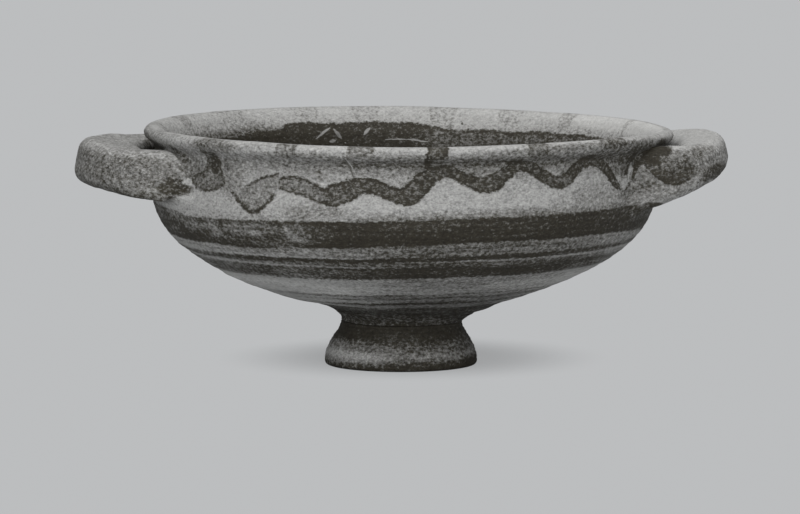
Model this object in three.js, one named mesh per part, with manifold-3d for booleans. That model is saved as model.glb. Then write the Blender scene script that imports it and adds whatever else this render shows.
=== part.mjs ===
// A wheel-thrown clay bowl on a low flared foot, with two horizontal loop handles.
//
// The potter threw the bowl and the foot apart, rolled the handles, and joined them leather-hard with
// slip and fillets of clay. Each of those pieces is a solid of its own here. The fired bowl is rigid, so
// nothing on it moves. Millimetres, +Z up. The origin is the centre of the foot's base, on the surface
// that the bowl stands on, and the handles lie along X.
import * as THREE from "three";
import { mergeVertices } from "three/addons/utils/BufferGeometryUtils.js";
import Module from "manifold-3d";

const wasm = await Module();
wasm.setup();

// Sizes of the bowl
const wallRadius = 80.6; // outside of the wall, at the shoulder
const wallThickness = 6;
const floorThickness = 6.5; // at the middle of the bowl
const bowlHeight = 60.4; // underside to the top of the lip
const uprightHeight = 18.2; // shoulder to the top of the lip
const undersideRadius = 17; // flat underside that sits on the foot
const bellySlope = 17.4; // degrees, where the belly leaves the underside
const bellyRun = 33; // how far the belly keeps to that slope
const bellyRise = 23.6; // how far below the shoulder the belly turns upright
const floorRun = 34; // how far the floor inside stays nearly level
const floorRise = 20; // how far below the shoulder the inside turns upright

// Sizes of the lip
const lipOverhang = 4; // outer edge of the lip beyond the wall
const lipDepth = 7; // top of the lip down to the hollow under it
const lipCrown = 1.9; // top of the lip above its outer edge
const lipWidth = 7.4; // outer edge to inner edge
const lipTopInset = 3; // outer edge in to the highest line of the lip
const lipInnerDrop = 2.8; // top of the lip down to its inner edge
const lipInnerFlare = 7.4; // height of the flare from the inner edge down to the upright wall

// Sizes of the foot
const footHeight = 14.2;
const footRadius = 24.4;
const neckRadius = 19.6;
const footEdge = 1.3; // rounding at the base
const headEdge = 0.4; // rounding at the top
const restRingWidth = 6.5; // flat ring that the foot stands on, without its rounded edge
const recessDepth = 7.5; // hollow under the foot

// Sizes of the clay that joins the foot to the bowl
const slipThickness = 1;
const slipRadius = 16.8;
const footFilletReach = 5.6; // how far the fillet spreads out beyond the neck
const footFilletHeight = 4.1;

// Sizes of the left handle
const leftGripGap = 8.8; // finger gap, wall to the inside of the loop
const leftHeight = 14.5;
const leftThickness = 16.6;
const leftCorner = 5.8; // rounding of the section's corners
const leftHalfSpan = 34; // middle of the loop to the middle of each root
const leftLipGap = 0.45; // foot of the lip down to the top of the loop, between its roots
const leftTilt = 7.5; // degrees that the loop rises away from the bowl
const leftSkew = 0; // degrees that its back root is higher than its front one

// Sizes of the right handle
const rightGripGap = 7.6;
const rightHeight = 13.6;
const rightThickness = 14.2;
const rightCorner = 5.4;
const rightHalfSpan = 31;
const rightLipGap = 1.5;
const rightTilt = 18;
const rightSkew = 3.6;

// Sizes of the clay round the handles' roots
const lutingReach = 3.4; // how far it stands off the wall
const lutingEdge = 0.7; // its thickness where it runs out on the handle
const lutingFlare = 1.5; // how much thicker it gets toward the wall
const lutingSlope = 16; // length over which it gets thicker
const lutingOutside = 6; // part of that length beyond the spot where it lines up with the loop
const lutingTurn = 8; // degrees round the loop from its root to that spot

// How far the bowl is out of true
const bowlShift = 0.7; // bowl's axis to the right of the foot's
const rimShift = 1.8; // rim to the right of the bowl's axis
const rimRoll = 0.72; // rim's right end below its middle, and the left end above it
const rimPitch = 0.43; // rim's back above its middle, and the front below it
const rimTwist = 0.44; // rim's quarter points above and below its middle

// Clearances and fineness
const jointGap = 0.3; // between pieces that are joined
const overrun = 15; // degrees that a loop runs on into the wall before it is cut
const roundSteps = 64;
const footSteps = 48;
const loopSteps = 28;
const mergeDistance = 1e-4;

// Heights and radii worked out from the sizes
const seatHeight = footHeight + jointGap + slipThickness + jointGap;
const lipTop = seatHeight + bowlHeight;
const shoulderHeight = lipTop - uprightHeight;
const lipRadius = wallRadius + lipOverhang;
const innerRadius = wallRadius - wallThickness;
const lipInnerRadius = lipRadius - lipWidth;
const lipEdgeHeight = lipTop - lipCrown;
const lipFootHeight = lipTop - lipDepth;
const lipInnerHeight = lipTop - lipInnerDrop;
const footFilletTop = footHeight + jointGap + footFilletHeight;

const point = (r, z) => new THREE.Vector2(r, z);
const radians = THREE.MathUtils.degToRad;

// Points of a cubic curve without its first, which the curve before it has already given.
function curve(from, leaving, arriving, to, steps) {
  return new THREE.CubicBezierCurve(from, leaving, arriving, to).getPoints(steps).slice(1);
}

function turned(outline, steps) {
  const geometry = new THREE.LatheGeometry(outline, steps);
  geometry.rotateX(Math.PI / 2);
  return geometry;
}

function toSolid(geometry) {
  const bare = geometry.clone();
  bare.deleteAttribute("normal");
  bare.deleteAttribute("uv");
  const merged = mergeVertices(bare, mergeDistance);
  const corners = Array.from(merged.index.array);
  const triangles = [];
  for (let i = 0; i < corners.length; i += 3) {
    const triangle = corners.slice(i, i + 3);
    if (new Set(triangle).size === 3) {
      triangles.push(...triangle);
    }
  }
  const mesh = new wasm.Mesh({
    numProp: 3,
    vertProperties: Float32Array.from(merged.attributes.position.array),
    triVerts: Uint32Array.from(triangles),
  });
  return new wasm.Manifold(mesh);
}

function toGeometry(solid) {
  const mesh = solid.getMesh();
  const geometry = new THREE.BufferGeometry();
  geometry.setAttribute("position", new THREE.BufferAttribute(mesh.vertProperties, 3));
  geometry.setIndex(new THREE.BufferAttribute(mesh.triVerts, 1));
  geometry.computeVertexNormals();
  return geometry;
}

// The outside of the bowl, from the middle of its underside up to the highest line of the lip.
function outsideOutline() {
  const start = point(undersideRadius, seatHeight);
  const slope = radians(bellySlope);
  const leaving = point(
    undersideRadius + bellyRun * Math.cos(slope),
    seatHeight + bellyRun * Math.sin(slope),
  );
  const shoulder = point(wallRadius, shoulderHeight);
  const belly = curve(start, leaving, point(wallRadius, shoulderHeight - bellyRise), shoulder, 12);
  const lipFoot = point(wallRadius, lipFootHeight);
  const upright = new THREE.LineCurve(shoulder, lipFoot).getPoints(3).slice(1);
  const lipMiddle = (lipFootHeight + lipEdgeHeight) / 2;
  const lipEdge = point(lipRadius, lipEdgeHeight);
  const underLip = curve(lipFoot, point(wallRadius, lipMiddle), point(lipRadius, lipMiddle), lipEdge, 5);
  const crown = point(lipRadius - lipTopInset, lipTop);
  const shoulderOfLip = curve(
    lipEdge,
    point(lipRadius, lipEdgeHeight + lipCrown * 0.6),
    point(lipRadius - lipTopInset * 0.4, lipTop),
    crown,
    3,
  );
  return [point(0, seatHeight), start, ...belly, ...upright, ...underLip, ...shoulderOfLip];
}

// The inside of the bowl, from the highest line of the lip down to the middle of the floor.
function insideOutline() {
  const crown = point(lipRadius - lipTopInset, lipTop);
  const innerEdge = point(lipInnerRadius, lipInnerHeight);
  const lipTopToEdge = curve(
    crown,
    point((crown.x + lipInnerRadius) / 2, lipTop),
    point(lipInnerRadius + lipInnerDrop * 0.3, lipInnerHeight + lipInnerDrop * 0.5),
    innerEdge,
    4,
  );
  const flareFoot = point(innerRadius, lipInnerHeight - lipInnerFlare);
  const flare = curve(
    innerEdge,
    point(innerRadius + (lipInnerRadius - innerRadius) * 0.5, lipInnerHeight - lipInnerFlare * 0.4),
    point(innerRadius, lipInnerHeight - lipInnerFlare * 0.6),
    flareFoot,
    3,
  );
  const shoulder = point(innerRadius, shoulderHeight);
  const upright = new THREE.LineCurve(flareFoot, shoulder).getPoints(2).slice(1);
  const floorHeight = seatHeight + floorThickness;
  const floor = curve(
    shoulder,
    point(innerRadius, shoulderHeight - floorRise),
    point(floorRun, floorHeight),
    point(0, floorHeight),
    11,
  );
  return [...lipTopToEdge, ...flare, ...upright, ...floor];
}

// The space that the bowl takes up, inside and wall together, grown outward by a distance. Above a
// chosen height it goes straight up. Whatever is joined to the wall is cut with it.
function bowlSpace(grown, straightAbove = lipTop) {
  const outline = outsideOutline().filter((here) => here.y <= straightAbove);
  const moved = outline.map((here, i) => {
    const before = outline[Math.max(i - 1, 0)];
    const after = outline[Math.min(i + 1, outline.length - 1)];
    const along = after.clone().sub(before).normalize();
    return point(Math.max(0, here.x + along.y * grown), here.y - along.x * grown);
  });
  moved[0] = point(0, seatHeight - grown);
  const top = lipTop + grown;
  moved.push(point(moved[moved.length - 1].x, top), point(0, top));
  const geometry = turned(moved, roundSteps);
  geometry.translate(bowlShift, 0, 0);
  return toSolid(geometry);
}

function makeBowl() {
  const geometry = turned([...outsideOutline(), ...insideOutline()], roundSteps);
  geometry.translate(bowlShift, 0, 0);
  return geometry;
}

function makeFoot() {
  const ringOuter = footRadius - footEdge;
  const ringInner = ringOuter - restRingWidth;
  const recess = curve(
    point(0, recessDepth),
    point(ringInner * 0.7, recessDepth),
    point(ringInner * 0.9, recessDepth * 0.7),
    point(ringInner, 0),
    6,
  );
  const edge = curve(
    point(ringOuter, 0),
    point(ringOuter + footEdge * 0.6, 0),
    point(footRadius, footEdge * 0.4),
    point(footRadius, footEdge),
    3,
  );
  const flare = footRadius - neckRadius;
  const side = curve(
    point(footRadius, footEdge),
    point(footRadius - flare * 0.1, footHeight * 0.36),
    point(neckRadius + flare * 0.12, footHeight * 0.74),
    point(neckRadius, footHeight - headEdge),
    8,
  );
  const outline = [
    point(0, recessDepth),
    ...recess,
    point(ringOuter, 0),
    ...edge,
    ...side,
    point(neckRadius - headEdge, footHeight),
    point(0, footHeight),
  ];
  return turned(outline, footSteps);
}

function makeSlipDisc() {
  const geometry = new THREE.CylinderGeometry(slipRadius, slipRadius, slipThickness, footSteps);
  geometry.rotateX(Math.PI / 2);
  geometry.translate(0, 0, footHeight + jointGap + slipThickness / 2);
  return geometry;
}

function makeFootFillet() {
  const inner = slipRadius + jointGap;
  const bottom = footHeight + jointGap;
  const outer = neckRadius + footFilletReach;
  const face = curve(
    point(neckRadius, bottom),
    point(neckRadius + footFilletReach * 0.1, bottom + footFilletHeight * 0.35),
    point(neckRadius + footFilletReach * 0.5, bottom + footFilletHeight * 0.7),
    point(outer, footFilletTop),
    5,
  );
  const outline = [
    point(inner, bottom),
    point(neckRadius, bottom),
    ...face,
    point(inner, footFilletTop),
    point(inner, bottom),
  ];
  const blank = toSolid(turned(outline, footSteps));
  return toGeometry(blank.subtract(bowlSpace(jointGap)));
}

// The middle line of a loop handle: half an oval from one root to the other, run on into the wall. Its
// x is measured out from the line through both roots.
class LoopLine extends THREE.Curve {
  constructor(depth, halfSpan) {
    super();
    this.depth = depth;
    this.halfSpan = halfSpan;
  }

  at(degrees, target = new THREE.Vector3()) {
    const angle = radians(degrees);
    return target.set(this.depth * Math.cos(angle), this.halfSpan * Math.sin(angle), 0);
  }

  getPoint(t, target) {
    return this.at((t * 2 - 1) * (90 + overrun), target);
  }
}

function handleSection(height, thickness, corner, grown) {
  const x = height / 2 + grown;
  const y = thickness / 2 + grown;
  const r = corner + grown;
  const section = new THREE.Shape();
  section.absarc(x - r, y - r, r, 0, Math.PI / 2);
  section.absarc(r - x, y - r, r, Math.PI / 2, Math.PI);
  section.absarc(r - x, r - y, r, Math.PI, Math.PI * 1.5);
  section.absarc(x - r, r - y, r, Math.PI * 1.5, Math.PI * 2);
  return section;
}

// How far the line through a handle's two roots, where they meet the wall, lies from the bowl's axis.
const rootLine = (halfSpan) => Math.sqrt(wallRadius ** 2 - halfSpan ** 2);

// Sets a piece that was made round its handle's root line onto the bowl, tilted as the handle is.
function setOnBowl(geometry, handle) {
  geometry.rotateY(-radians(handle.tilt));
  geometry.rotateX(radians(handle.skew) * handle.side);
  const middle = lipFootHeight - handle.lipGap - handle.height / 2;
  geometry.translate(rootLine(handle.halfSpan), 0, middle);
  if (handle.side < 0) {
    geometry.rotateZ(Math.PI);
  }
  geometry.translate(bowlShift, 0, 0);
  return geometry;
}

function loopLine(handle) {
  const middle = wallRadius + handle.gap + handle.thickness / 2;
  const depth = (middle - rootLine(handle.halfSpan)) / Math.cos(radians(handle.tilt));
  return new LoopLine(depth, handle.halfSpan);
}

function loopSolid(handle, grown) {
  const section = handleSection(handle.height, handle.thickness, handle.corner, grown);
  const geometry = new THREE.ExtrudeGeometry(section, {
    steps: loopSteps,
    curveSegments: 2,
    extrudePath: loopLine(handle),
  });
  return toSolid(setOnBowl(geometry, handle));
}

function makeHandle(handle) {
  return toGeometry(loopSolid(handle, 0).subtract(bowlSpace(jointGap)));
}

// The clay round one root: a collar over the handle's end that gets thicker toward the wall.
function makeLuting(handle, rootSide) {
  const grown = jointGap + lutingEdge;
  const section = handleSection(handle.height, handle.thickness, handle.corner, grown);
  const geometry = new THREE.ExtrudeGeometry(section, {
    depth: lutingSlope,
    curveSegments: 2,
    bevelThickness: lutingSlope,
    bevelSize: lutingFlare,
    bevelSegments: 1,
  });
  geometry.translate(0, 0, lutingOutside - lutingSlope * 2);
  geometry.rotateY(Math.PI / 2);
  const turn = rootSide * handle.side * (90 - lutingTurn);
  const spot = loopLine(handle).at(turn);
  const further = loopLine(handle).at(turn * 0.99).sub(spot);
  geometry.rotateZ(Math.atan2(further.y, further.x));
  geometry.translate(spot.x, spot.y, 0);
  const blank = toSolid(setOnBowl(geometry, handle));
  const collar = blank.intersect(bowlSpace(lutingReach, lipFootHeight)).subtract(bowlSpace(jointGap));
  return toGeometry(collar.subtract(loopSolid(handle, jointGap)));
}

// Drying and firing left the bowl a little out of true. It leans more and more above the foot's fillet,
// and whatever is joined to the wall goes with it.
function settle(geometry) {
  const position = geometry.attributes.position;
  for (let i = 0; i < position.count; i += 1) {
    const x = position.getX(i) - bowlShift;
    const y = position.getY(i);
    const z = position.getZ(i);
    const leaning = THREE.MathUtils.smoothstep(z, footFilletTop, shoulderHeight);
    const across = x / lipRadius;
    const back = y / lipRadius;
    const lift = rimPitch * back - rimRoll * across - 2 * rimTwist * across * back;
    const drift = rimShift * THREE.MathUtils.smoothstep(z, shoulderHeight - uprightHeight / 2, lipTop);
    position.setXYZ(i, x + bowlShift + drift, y, z + lift * leaning);
  }
  geometry.computeVertexNormals();
  return geometry;
}

const clay = {
  bowl: new THREE.MeshStandardMaterial({ color: 0x8f8d88, roughness: 0.85, metalness: 0 }),
  foot: new THREE.MeshStandardMaterial({ color: 0x55524d, roughness: 0.88, metalness: 0 }),
  slip: new THREE.MeshStandardMaterial({ color: 0x9a9690, roughness: 0.92, metalness: 0 }),
  fillet: new THREE.MeshStandardMaterial({ color: 0x3c3933, roughness: 0.88, metalness: 0 }),
  handle: new THREE.MeshStandardMaterial({ color: 0x6f6d68, roughness: 0.9, metalness: 0 }),
  luting: new THREE.MeshStandardMaterial({ color: 0x5f5d57, roughness: 0.9, metalness: 0 }),
};

const handles = {
  left: {
    side: -1,
    gap: leftGripGap,
    height: leftHeight,
    thickness: leftThickness,
    corner: leftCorner,
    halfSpan: leftHalfSpan,
    lipGap: leftLipGap,
    tilt: leftTilt,
    skew: leftSkew,
  },
  right: {
    side: 1,
    gap: rightGripGap,
    height: rightHeight,
    thickness: rightThickness,
    corner: rightCorner,
    halfSpan: rightHalfSpan,
    lipGap: rightLipGap,
    tilt: rightTilt,
    skew: rightSkew,
  },
};
const rootSides = { front: -1, back: 1 };

const twoHandledBowl = new THREE.Group();

function addPiece(name, geometry, material) {
  const piece = new THREE.Mesh(geometry, material);
  piece.name = name;
  twoHandledBowl.add(piece);
}

addPiece("foot", makeFoot(), clay.foot);
addPiece("foot_luting_disc", makeSlipDisc(), clay.slip);
addPiece("foot_luting_ring", makeFootFillet(), clay.fillet);
addPiece("bowl", settle(makeBowl()), clay.bowl);
for (const [sideName, handle] of Object.entries(handles)) {
  addPiece(`${sideName}_handle`, settle(makeHandle(handle)), clay.handle);
  for (const [rootName, rootSide] of Object.entries(rootSides)) {
    const luting = settle(makeLuting(handle, rootSide));
    addPiece(`${sideName}_handle_${rootName}_luting`, luting, clay.luting);
  }
}

export default twoHandledBowl;
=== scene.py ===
import math

import bpy
import numpy as np
from mathutils import Matrix, Vector


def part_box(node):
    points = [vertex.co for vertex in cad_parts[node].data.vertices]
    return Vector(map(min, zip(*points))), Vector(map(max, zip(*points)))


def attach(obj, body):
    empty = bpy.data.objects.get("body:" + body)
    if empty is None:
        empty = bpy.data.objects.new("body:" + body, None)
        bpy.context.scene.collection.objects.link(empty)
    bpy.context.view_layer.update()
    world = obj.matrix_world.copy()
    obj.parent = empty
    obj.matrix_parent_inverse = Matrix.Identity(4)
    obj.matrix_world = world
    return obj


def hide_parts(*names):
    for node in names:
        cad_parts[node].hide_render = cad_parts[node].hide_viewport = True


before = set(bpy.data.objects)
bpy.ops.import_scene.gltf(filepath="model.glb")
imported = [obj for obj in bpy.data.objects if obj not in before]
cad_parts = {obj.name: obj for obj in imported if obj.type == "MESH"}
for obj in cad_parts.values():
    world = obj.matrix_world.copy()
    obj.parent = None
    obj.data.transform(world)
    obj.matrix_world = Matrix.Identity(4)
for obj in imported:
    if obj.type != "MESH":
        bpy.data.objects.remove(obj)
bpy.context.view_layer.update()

mm = 0.001

# Foot
# A low flared pedestal of fired clay, thrown by itself on the wheel and hollowed out underneath.
# Dark slip runs down it from the bowl and is rubbed away toward the base, whose edge is chipped.
foot_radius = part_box("foot")[1].x
foot_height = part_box("foot")[1].z
neck_radius = 19.6 * mm
foot_edge = 1.6 * mm
recess_depth = 7.5 * mm
rest_ring_inner = 16.6 * mm
rest_ring_outer = 22.6 * mm

grain_flatness = 1.5
pale_clay = (0.395, 0.394, 0.385)
thin_slip = (0.046, 0.042, 0.032)
dark_slip = (0.026, 0.022, 0.015)


def bezier(start, leaving, arriving, end, steps):
    """Points of a cubic curve, without its first."""
    points = []
    for step in range(1, steps + 1):
        t = step / steps
        weights = ((1 - t) ** 3, 3 * (1 - t) ** 2 * t, 3 * (1 - t) * t * t, t ** 3)
        corners = (start, leaving, arriving, end)
        points.append(tuple(sum(w * c[i] for w, c in zip(weights, corners)) for i in (0, 1)))
    return points


def new_tree(name, kind, inputs, outputs):
    """A node group with named inputs, given as (name, type, value), and outputs, as (name, type)."""
    tree = bpy.data.node_groups.new(name, kind)
    for label, socket_type, value in inputs:
        socket = tree.interface.new_socket(name=label, in_out="INPUT", socket_type=socket_type)
        if value is not None:
            socket.default_value = value
    for label, socket_type in outputs:
        tree.interface.new_socket(name=label, in_out="OUTPUT", socket_type=socket_type)
    return tree, tree.nodes.new("NodeGroupInput").outputs, tree.nodes.new("NodeGroupOutput").inputs


def join(tree, value, socket):
    """Links an output to a socket, or sets the socket to a plain value."""
    if isinstance(value, bpy.types.NodeSocket):
        tree.links.new(value, socket)
    else:
        socket.default_value = value


def add(tree, kind, inputs=None, output=0, **settings):
    """Adds a node, fills its inputs by name or place, and returns one of its outputs."""
    node = tree.nodes.new(kind)
    for key, value in settings.items():
        setattr(node, key, value)
    for key, value in (inputs or {}).items():
        join(tree, value, node.inputs[key])
    return node.outputs[output]


def calc(tree, operation, *values):
    return add(tree, "ShaderNodeMath", dict(enumerate(values)), operation=operation)


def noise(tree, place, scale, detail=3.0, roughness=0.6, seed=None):
    """Smooth random values round zero, mostly within half a unit."""
    inputs = {"Vector": place, "Scale": scale, "Detail": detail, "Roughness": roughness}
    dimensions = "3D"
    if seed is not None:
        dimensions = "4D"
    node = tree.nodes.new("ShaderNodeTexNoise")
    node.noise_dimensions = dimensions
    if seed is not None:
        inputs["W"] = seed
    for key, value in inputs.items():
        join(tree, value, node.inputs[key])
    return calc(tree, "SUBTRACT", node.outputs["Fac"], 0.5)


def ramp(tree, value, low, high, to_low=0.0, to_high=1.0):
    """A smooth step of a value between two limits."""
    inputs = {"Value": value, "From Min": low, "From Max": high, "To Min": to_low, "To Max": to_high}
    return add(tree, "ShaderNodeMapRange", inputs, interpolation_type="SMOOTHSTEP")


def wheel_tree():
    """Turns an outline round the axis, as a pot is turned, with the potter's finger rings in it."""
    tree, given, result = new_tree(
        "thrown_on_the_wheel",
        "GeometryNodeTree",
        [
            ("Outline", "NodeSocketGeometry", None),
            ("Around", "NodeSocketInt", 256),
            ("Ring Depth", "NodeSocketFloat", 0.00005),
            ("Ring Pitch", "NodeSocketFloat", 0.004),
            ("Unevenness", "NodeSocketFloat", 0.0002),
            ("Lump Size", "NodeSocketFloat", 0.02),
            ("Seed", "NodeSocketFloat", 0.0),
            ("Material", "NodeSocketMaterial", None),
        ],
        [("Geometry", "NodeSocketGeometry")],
    )
    outline = given["Outline"]
    rows = add(tree, "GeometryNodeAttributeDomainSize", {0: outline})
    columns = calc(tree, "ADD", given["Around"], 1)
    sheet = add(tree, "GeometryNodeMeshGrid", {"Vertices X": columns, "Vertices Y": rows})
    index = add(tree, "GeometryNodeInputIndex")
    column = calc(tree, "FLOOR", calc(tree, "DIVIDE", calc(tree, "ADD", index, 0.5), rows))
    row = calc(tree, "SUBTRACT", index, calc(tree, "MULTIPLY", column, rows))
    here = add(tree, "GeometryNodeInputPosition")
    picked = {"Geometry": outline, "Value": here, "Index": row}
    on_outline = add(tree, "GeometryNodeSampleIndex", picked, data_type="FLOAT_VECTOR")
    give = add(tree, "GeometryNodeInputNamedAttribute", {"Name": "give"}, data_type="FLOAT")
    picked = {"Geometry": outline, "Value": give, "Index": row}
    row_give = add(tree, "GeometryNodeSampleIndex", picked, data_type="FLOAT")
    split = tree.nodes.new("ShaderNodeSeparateXYZ")
    join(tree, on_outline, split.inputs[0])
    turn = calc(tree, "MULTIPLY", calc(tree, "DIVIDE", column, given["Around"]), math.tau)
    x = calc(tree, "MULTIPLY", split.outputs["X"], calc(tree, "COSINE", turn))
    y = calc(tree, "MULTIPLY", split.outputs["X"], calc(tree, "SINE", turn))
    round_place = add(tree, "ShaderNodeCombineXYZ", {"X": x, "Y": y, "Z": split.outputs["Z"]})
    sheet = add(tree, "GeometryNodeStoreNamedAttribute", {"Geometry": sheet, "Name": "row", "Value": row},
                data_type="FLOAT", domain="POINT")
    sheet = add(tree, "GeometryNodeStoreNamedAttribute",
                {"Geometry": sheet, "Name": "row_give", "Value": row_give}, data_type="FLOAT", domain="POINT")
    sheet = add(tree, "GeometryNodeSetPosition", {"Geometry": sheet, "Position": round_place})
    shell = add(tree, "GeometryNodeMergeByDistance", {"Geometry": sheet, "Distance": 0.002 * mm})
    part = tree.nodes.new("ShaderNodeSeparateXYZ")
    join(tree, here, part.inputs[0])
    angle = calc(tree, "ARCTAN2", part.outputs["Y"], part.outputs["X"])
    climb = calc(tree, "MULTIPLY", calc(tree, "DIVIDE", part.outputs["Z"], given["Ring Pitch"]), math.tau)
    ring = calc(tree, "SINE", calc(tree, "ADD", climb, angle))
    ring = calc(tree, "ADD", ring, calc(tree, "SINE", calc(tree, "MULTIPLY", climb, 2.3)))
    ring = calc(tree, "MULTIPLY", ring, calc(tree, "MULTIPLY", given["Ring Depth"], 0.5))
    lumps = noise(tree, here, calc(tree, "DIVIDE", 1, given["Lump Size"]), 2, 0.5, given["Seed"])
    push = calc(tree, "ADD", ring, calc(tree, "MULTIPLY", lumps, given["Unevenness"]))
    give = add(tree, "GeometryNodeInputNamedAttribute", {"Name": "row_give"}, data_type="FLOAT")
    push = calc(tree, "MULTIPLY", push, give)
    normal = add(tree, "GeometryNodeInputNormal")
    offset = add(tree, "ShaderNodeVectorMath", {0: normal, "Scale": push}, operation="SCALE")
    shell = add(tree, "GeometryNodeSetPosition", {"Geometry": shell, "Offset": offset})
    shell = add(tree, "GeometryNodeSetShadeSmooth", {"Geometry": shell})
    shell = add(tree, "GeometryNodeRealizeInstances", {"Geometry": shell})
    shell = add(tree, "GeometryNodeSetMaterial", {"Geometry": shell, "Material": given["Material"]})
    join(tree, shell, result["Geometry"])
    return tree


def make_real(piece, tree, values):
    """Runs a Geometry Nodes tree on a piece and keeps what comes out as the piece's plain mesh."""
    modifier = piece.modifiers.new(tree.name, "NODES")
    modifier.node_group = tree
    for socket in tree.interface.items_tree:
        if socket.in_out == "INPUT" and socket.name in values:
            modifier[socket.identifier] = values[socket.name]
    graph = bpy.context.evaluated_depsgraph_get()
    mesh = bpy.data.meshes.new_from_object(piece.evaluated_get(graph))
    piece.modifiers.remove(modifier)
    piece.data = mesh
    return piece


def linked(name, mesh):
    piece = bpy.data.objects.new(name, mesh)
    bpy.context.scene.collection.objects.link(piece)
    return piece


def thrown(name, outline, stiff, values):
    """A turned piece. Its outline is (radius, height) points, of which stiff(r, z) keep their shape."""
    mesh = bpy.data.meshes.new(name)
    edges = [(i, i + 1) for i in range(len(outline) - 1)]
    mesh.from_pydata([(r, 0, z) for r, z in outline], edges, [])
    give = mesh.attributes.new("give", "FLOAT", "POINT")
    give.data.foreach_set("value", [1 - stiff(r, z) for r, z in outline])
    return make_real(linked(name, mesh), wheel, values)


def spots(mesh):
    """The vertices of a mesh, in millimetres."""
    flat = np.empty(len(mesh.vertices) * 3)
    mesh.vertices.foreach_get("co", flat)
    return flat.reshape(-1, 3) / mm


def move_to(mesh, places):
    mesh.vertices.foreach_set("co", (places * mm).ravel())
    mesh.update()


def note(mesh, **fields):
    """Writes a value for each vertex under each name, for the materials to read."""
    for key, values in fields.items():
        layer = mesh.attributes.new(key, "FLOAT", "POINT")
        layer.data.foreach_set("value", np.broadcast_to(values, len(mesh.vertices)).astype(np.float32))


def smooth(value, low, high):
    t = np.clip((value - low) / (high - low), 0, 1)
    return t * t * (3 - 2 * t)


def flattened(tree, flatness):
    """Places on the piece for grain that is drawn out level, as turning and wiping leave it."""
    place = add(tree, "ShaderNodeTexCoord", output="Object")
    return add(tree, "ShaderNodeVectorMath", {0: place, 1: (1.0, 1.0, flatness)}, operation="MULTIPLY")


def grain_group():
    """The sandy, pitted skin of low-fired clay, smoothed and lightened where it is wiped, where a painted highlight
    is laid, and where painted light is laid.
    """
    tree, given, result = new_tree(
        "sandy_clay",
        "ShaderNodeTree",
        [
            ("Pitting", "NodeSocketFloat", 0.4),
            ("Grit", "NodeSocketFloat", 0.3),
            ("Clean", "NodeSocketFloat", 0.0),
            ("Pale", "NodeSocketFloat", 0.0),
        ],
        [("Tone", "NodeSocketFloat"), ("Height", "NodeSocketFloat")],
    )
    place = flattened(tree, grain_flatness)
    fine = noise(tree, place, 1300, 2, 0.65)
    sand = noise(tree, place, 640, 2, 0.6)
    clouds = noise(tree, place, 110, 3, 0.55)
    pocks = ramp(tree, noise(tree, place, 760, 1, 0.5), 0.10, 0.22)
    pocks = calc(tree, "MULTIPLY", pocks, ramp(tree, clouds, -0.08, 0.12))
    pocks = calc(tree, "MULTIPLY", pocks, given["Pitting"])
    tone = calc(tree, "MULTIPLY_ADD", fine, 1.35, calc(tree, "MULTIPLY", sand, 0.95))
    grit = ramp(tree, noise(tree, place, 940, 1, 0.5), 0.17, 0.25)
    tone = calc(tree, "MULTIPLY_ADD", calc(tree, "MULTIPLY", grit, given["Grit"]), 0.8, tone)
    tone = calc(tree, "MULTIPLY", tone, calc(tree, "MULTIPLY_ADD", given["Clean"], -0.55, 1.0))
    tone = calc(tree, "MULTIPLY_ADD", clouds, 0.30, calc(tree, "ADD", tone, 1.0))
    tone = calc(tree, "MULTIPLY_ADD", pocks, -0.4, tone)
    # The clean input lightens wiped skin and painted highlights; the pale input adds painted light.
    lighter = calc(tree, "MULTIPLY", given["Clean"], calc(tree, "MULTIPLY_ADD", given["Clean"], 0.58, -0.16))
    lighter = calc(tree, "ADD", lighter, given["Pale"])
    join(tree, calc(tree, "ADD", tone, lighter), result["Tone"])
    height = calc(tree, "MULTIPLY_ADD", sand, 0.9, calc(tree, "MULTIPLY", fine, 0.8))
    join(tree, calc(tree, "SUBTRACT", height, pocks), result["Height"])
    return tree


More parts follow.
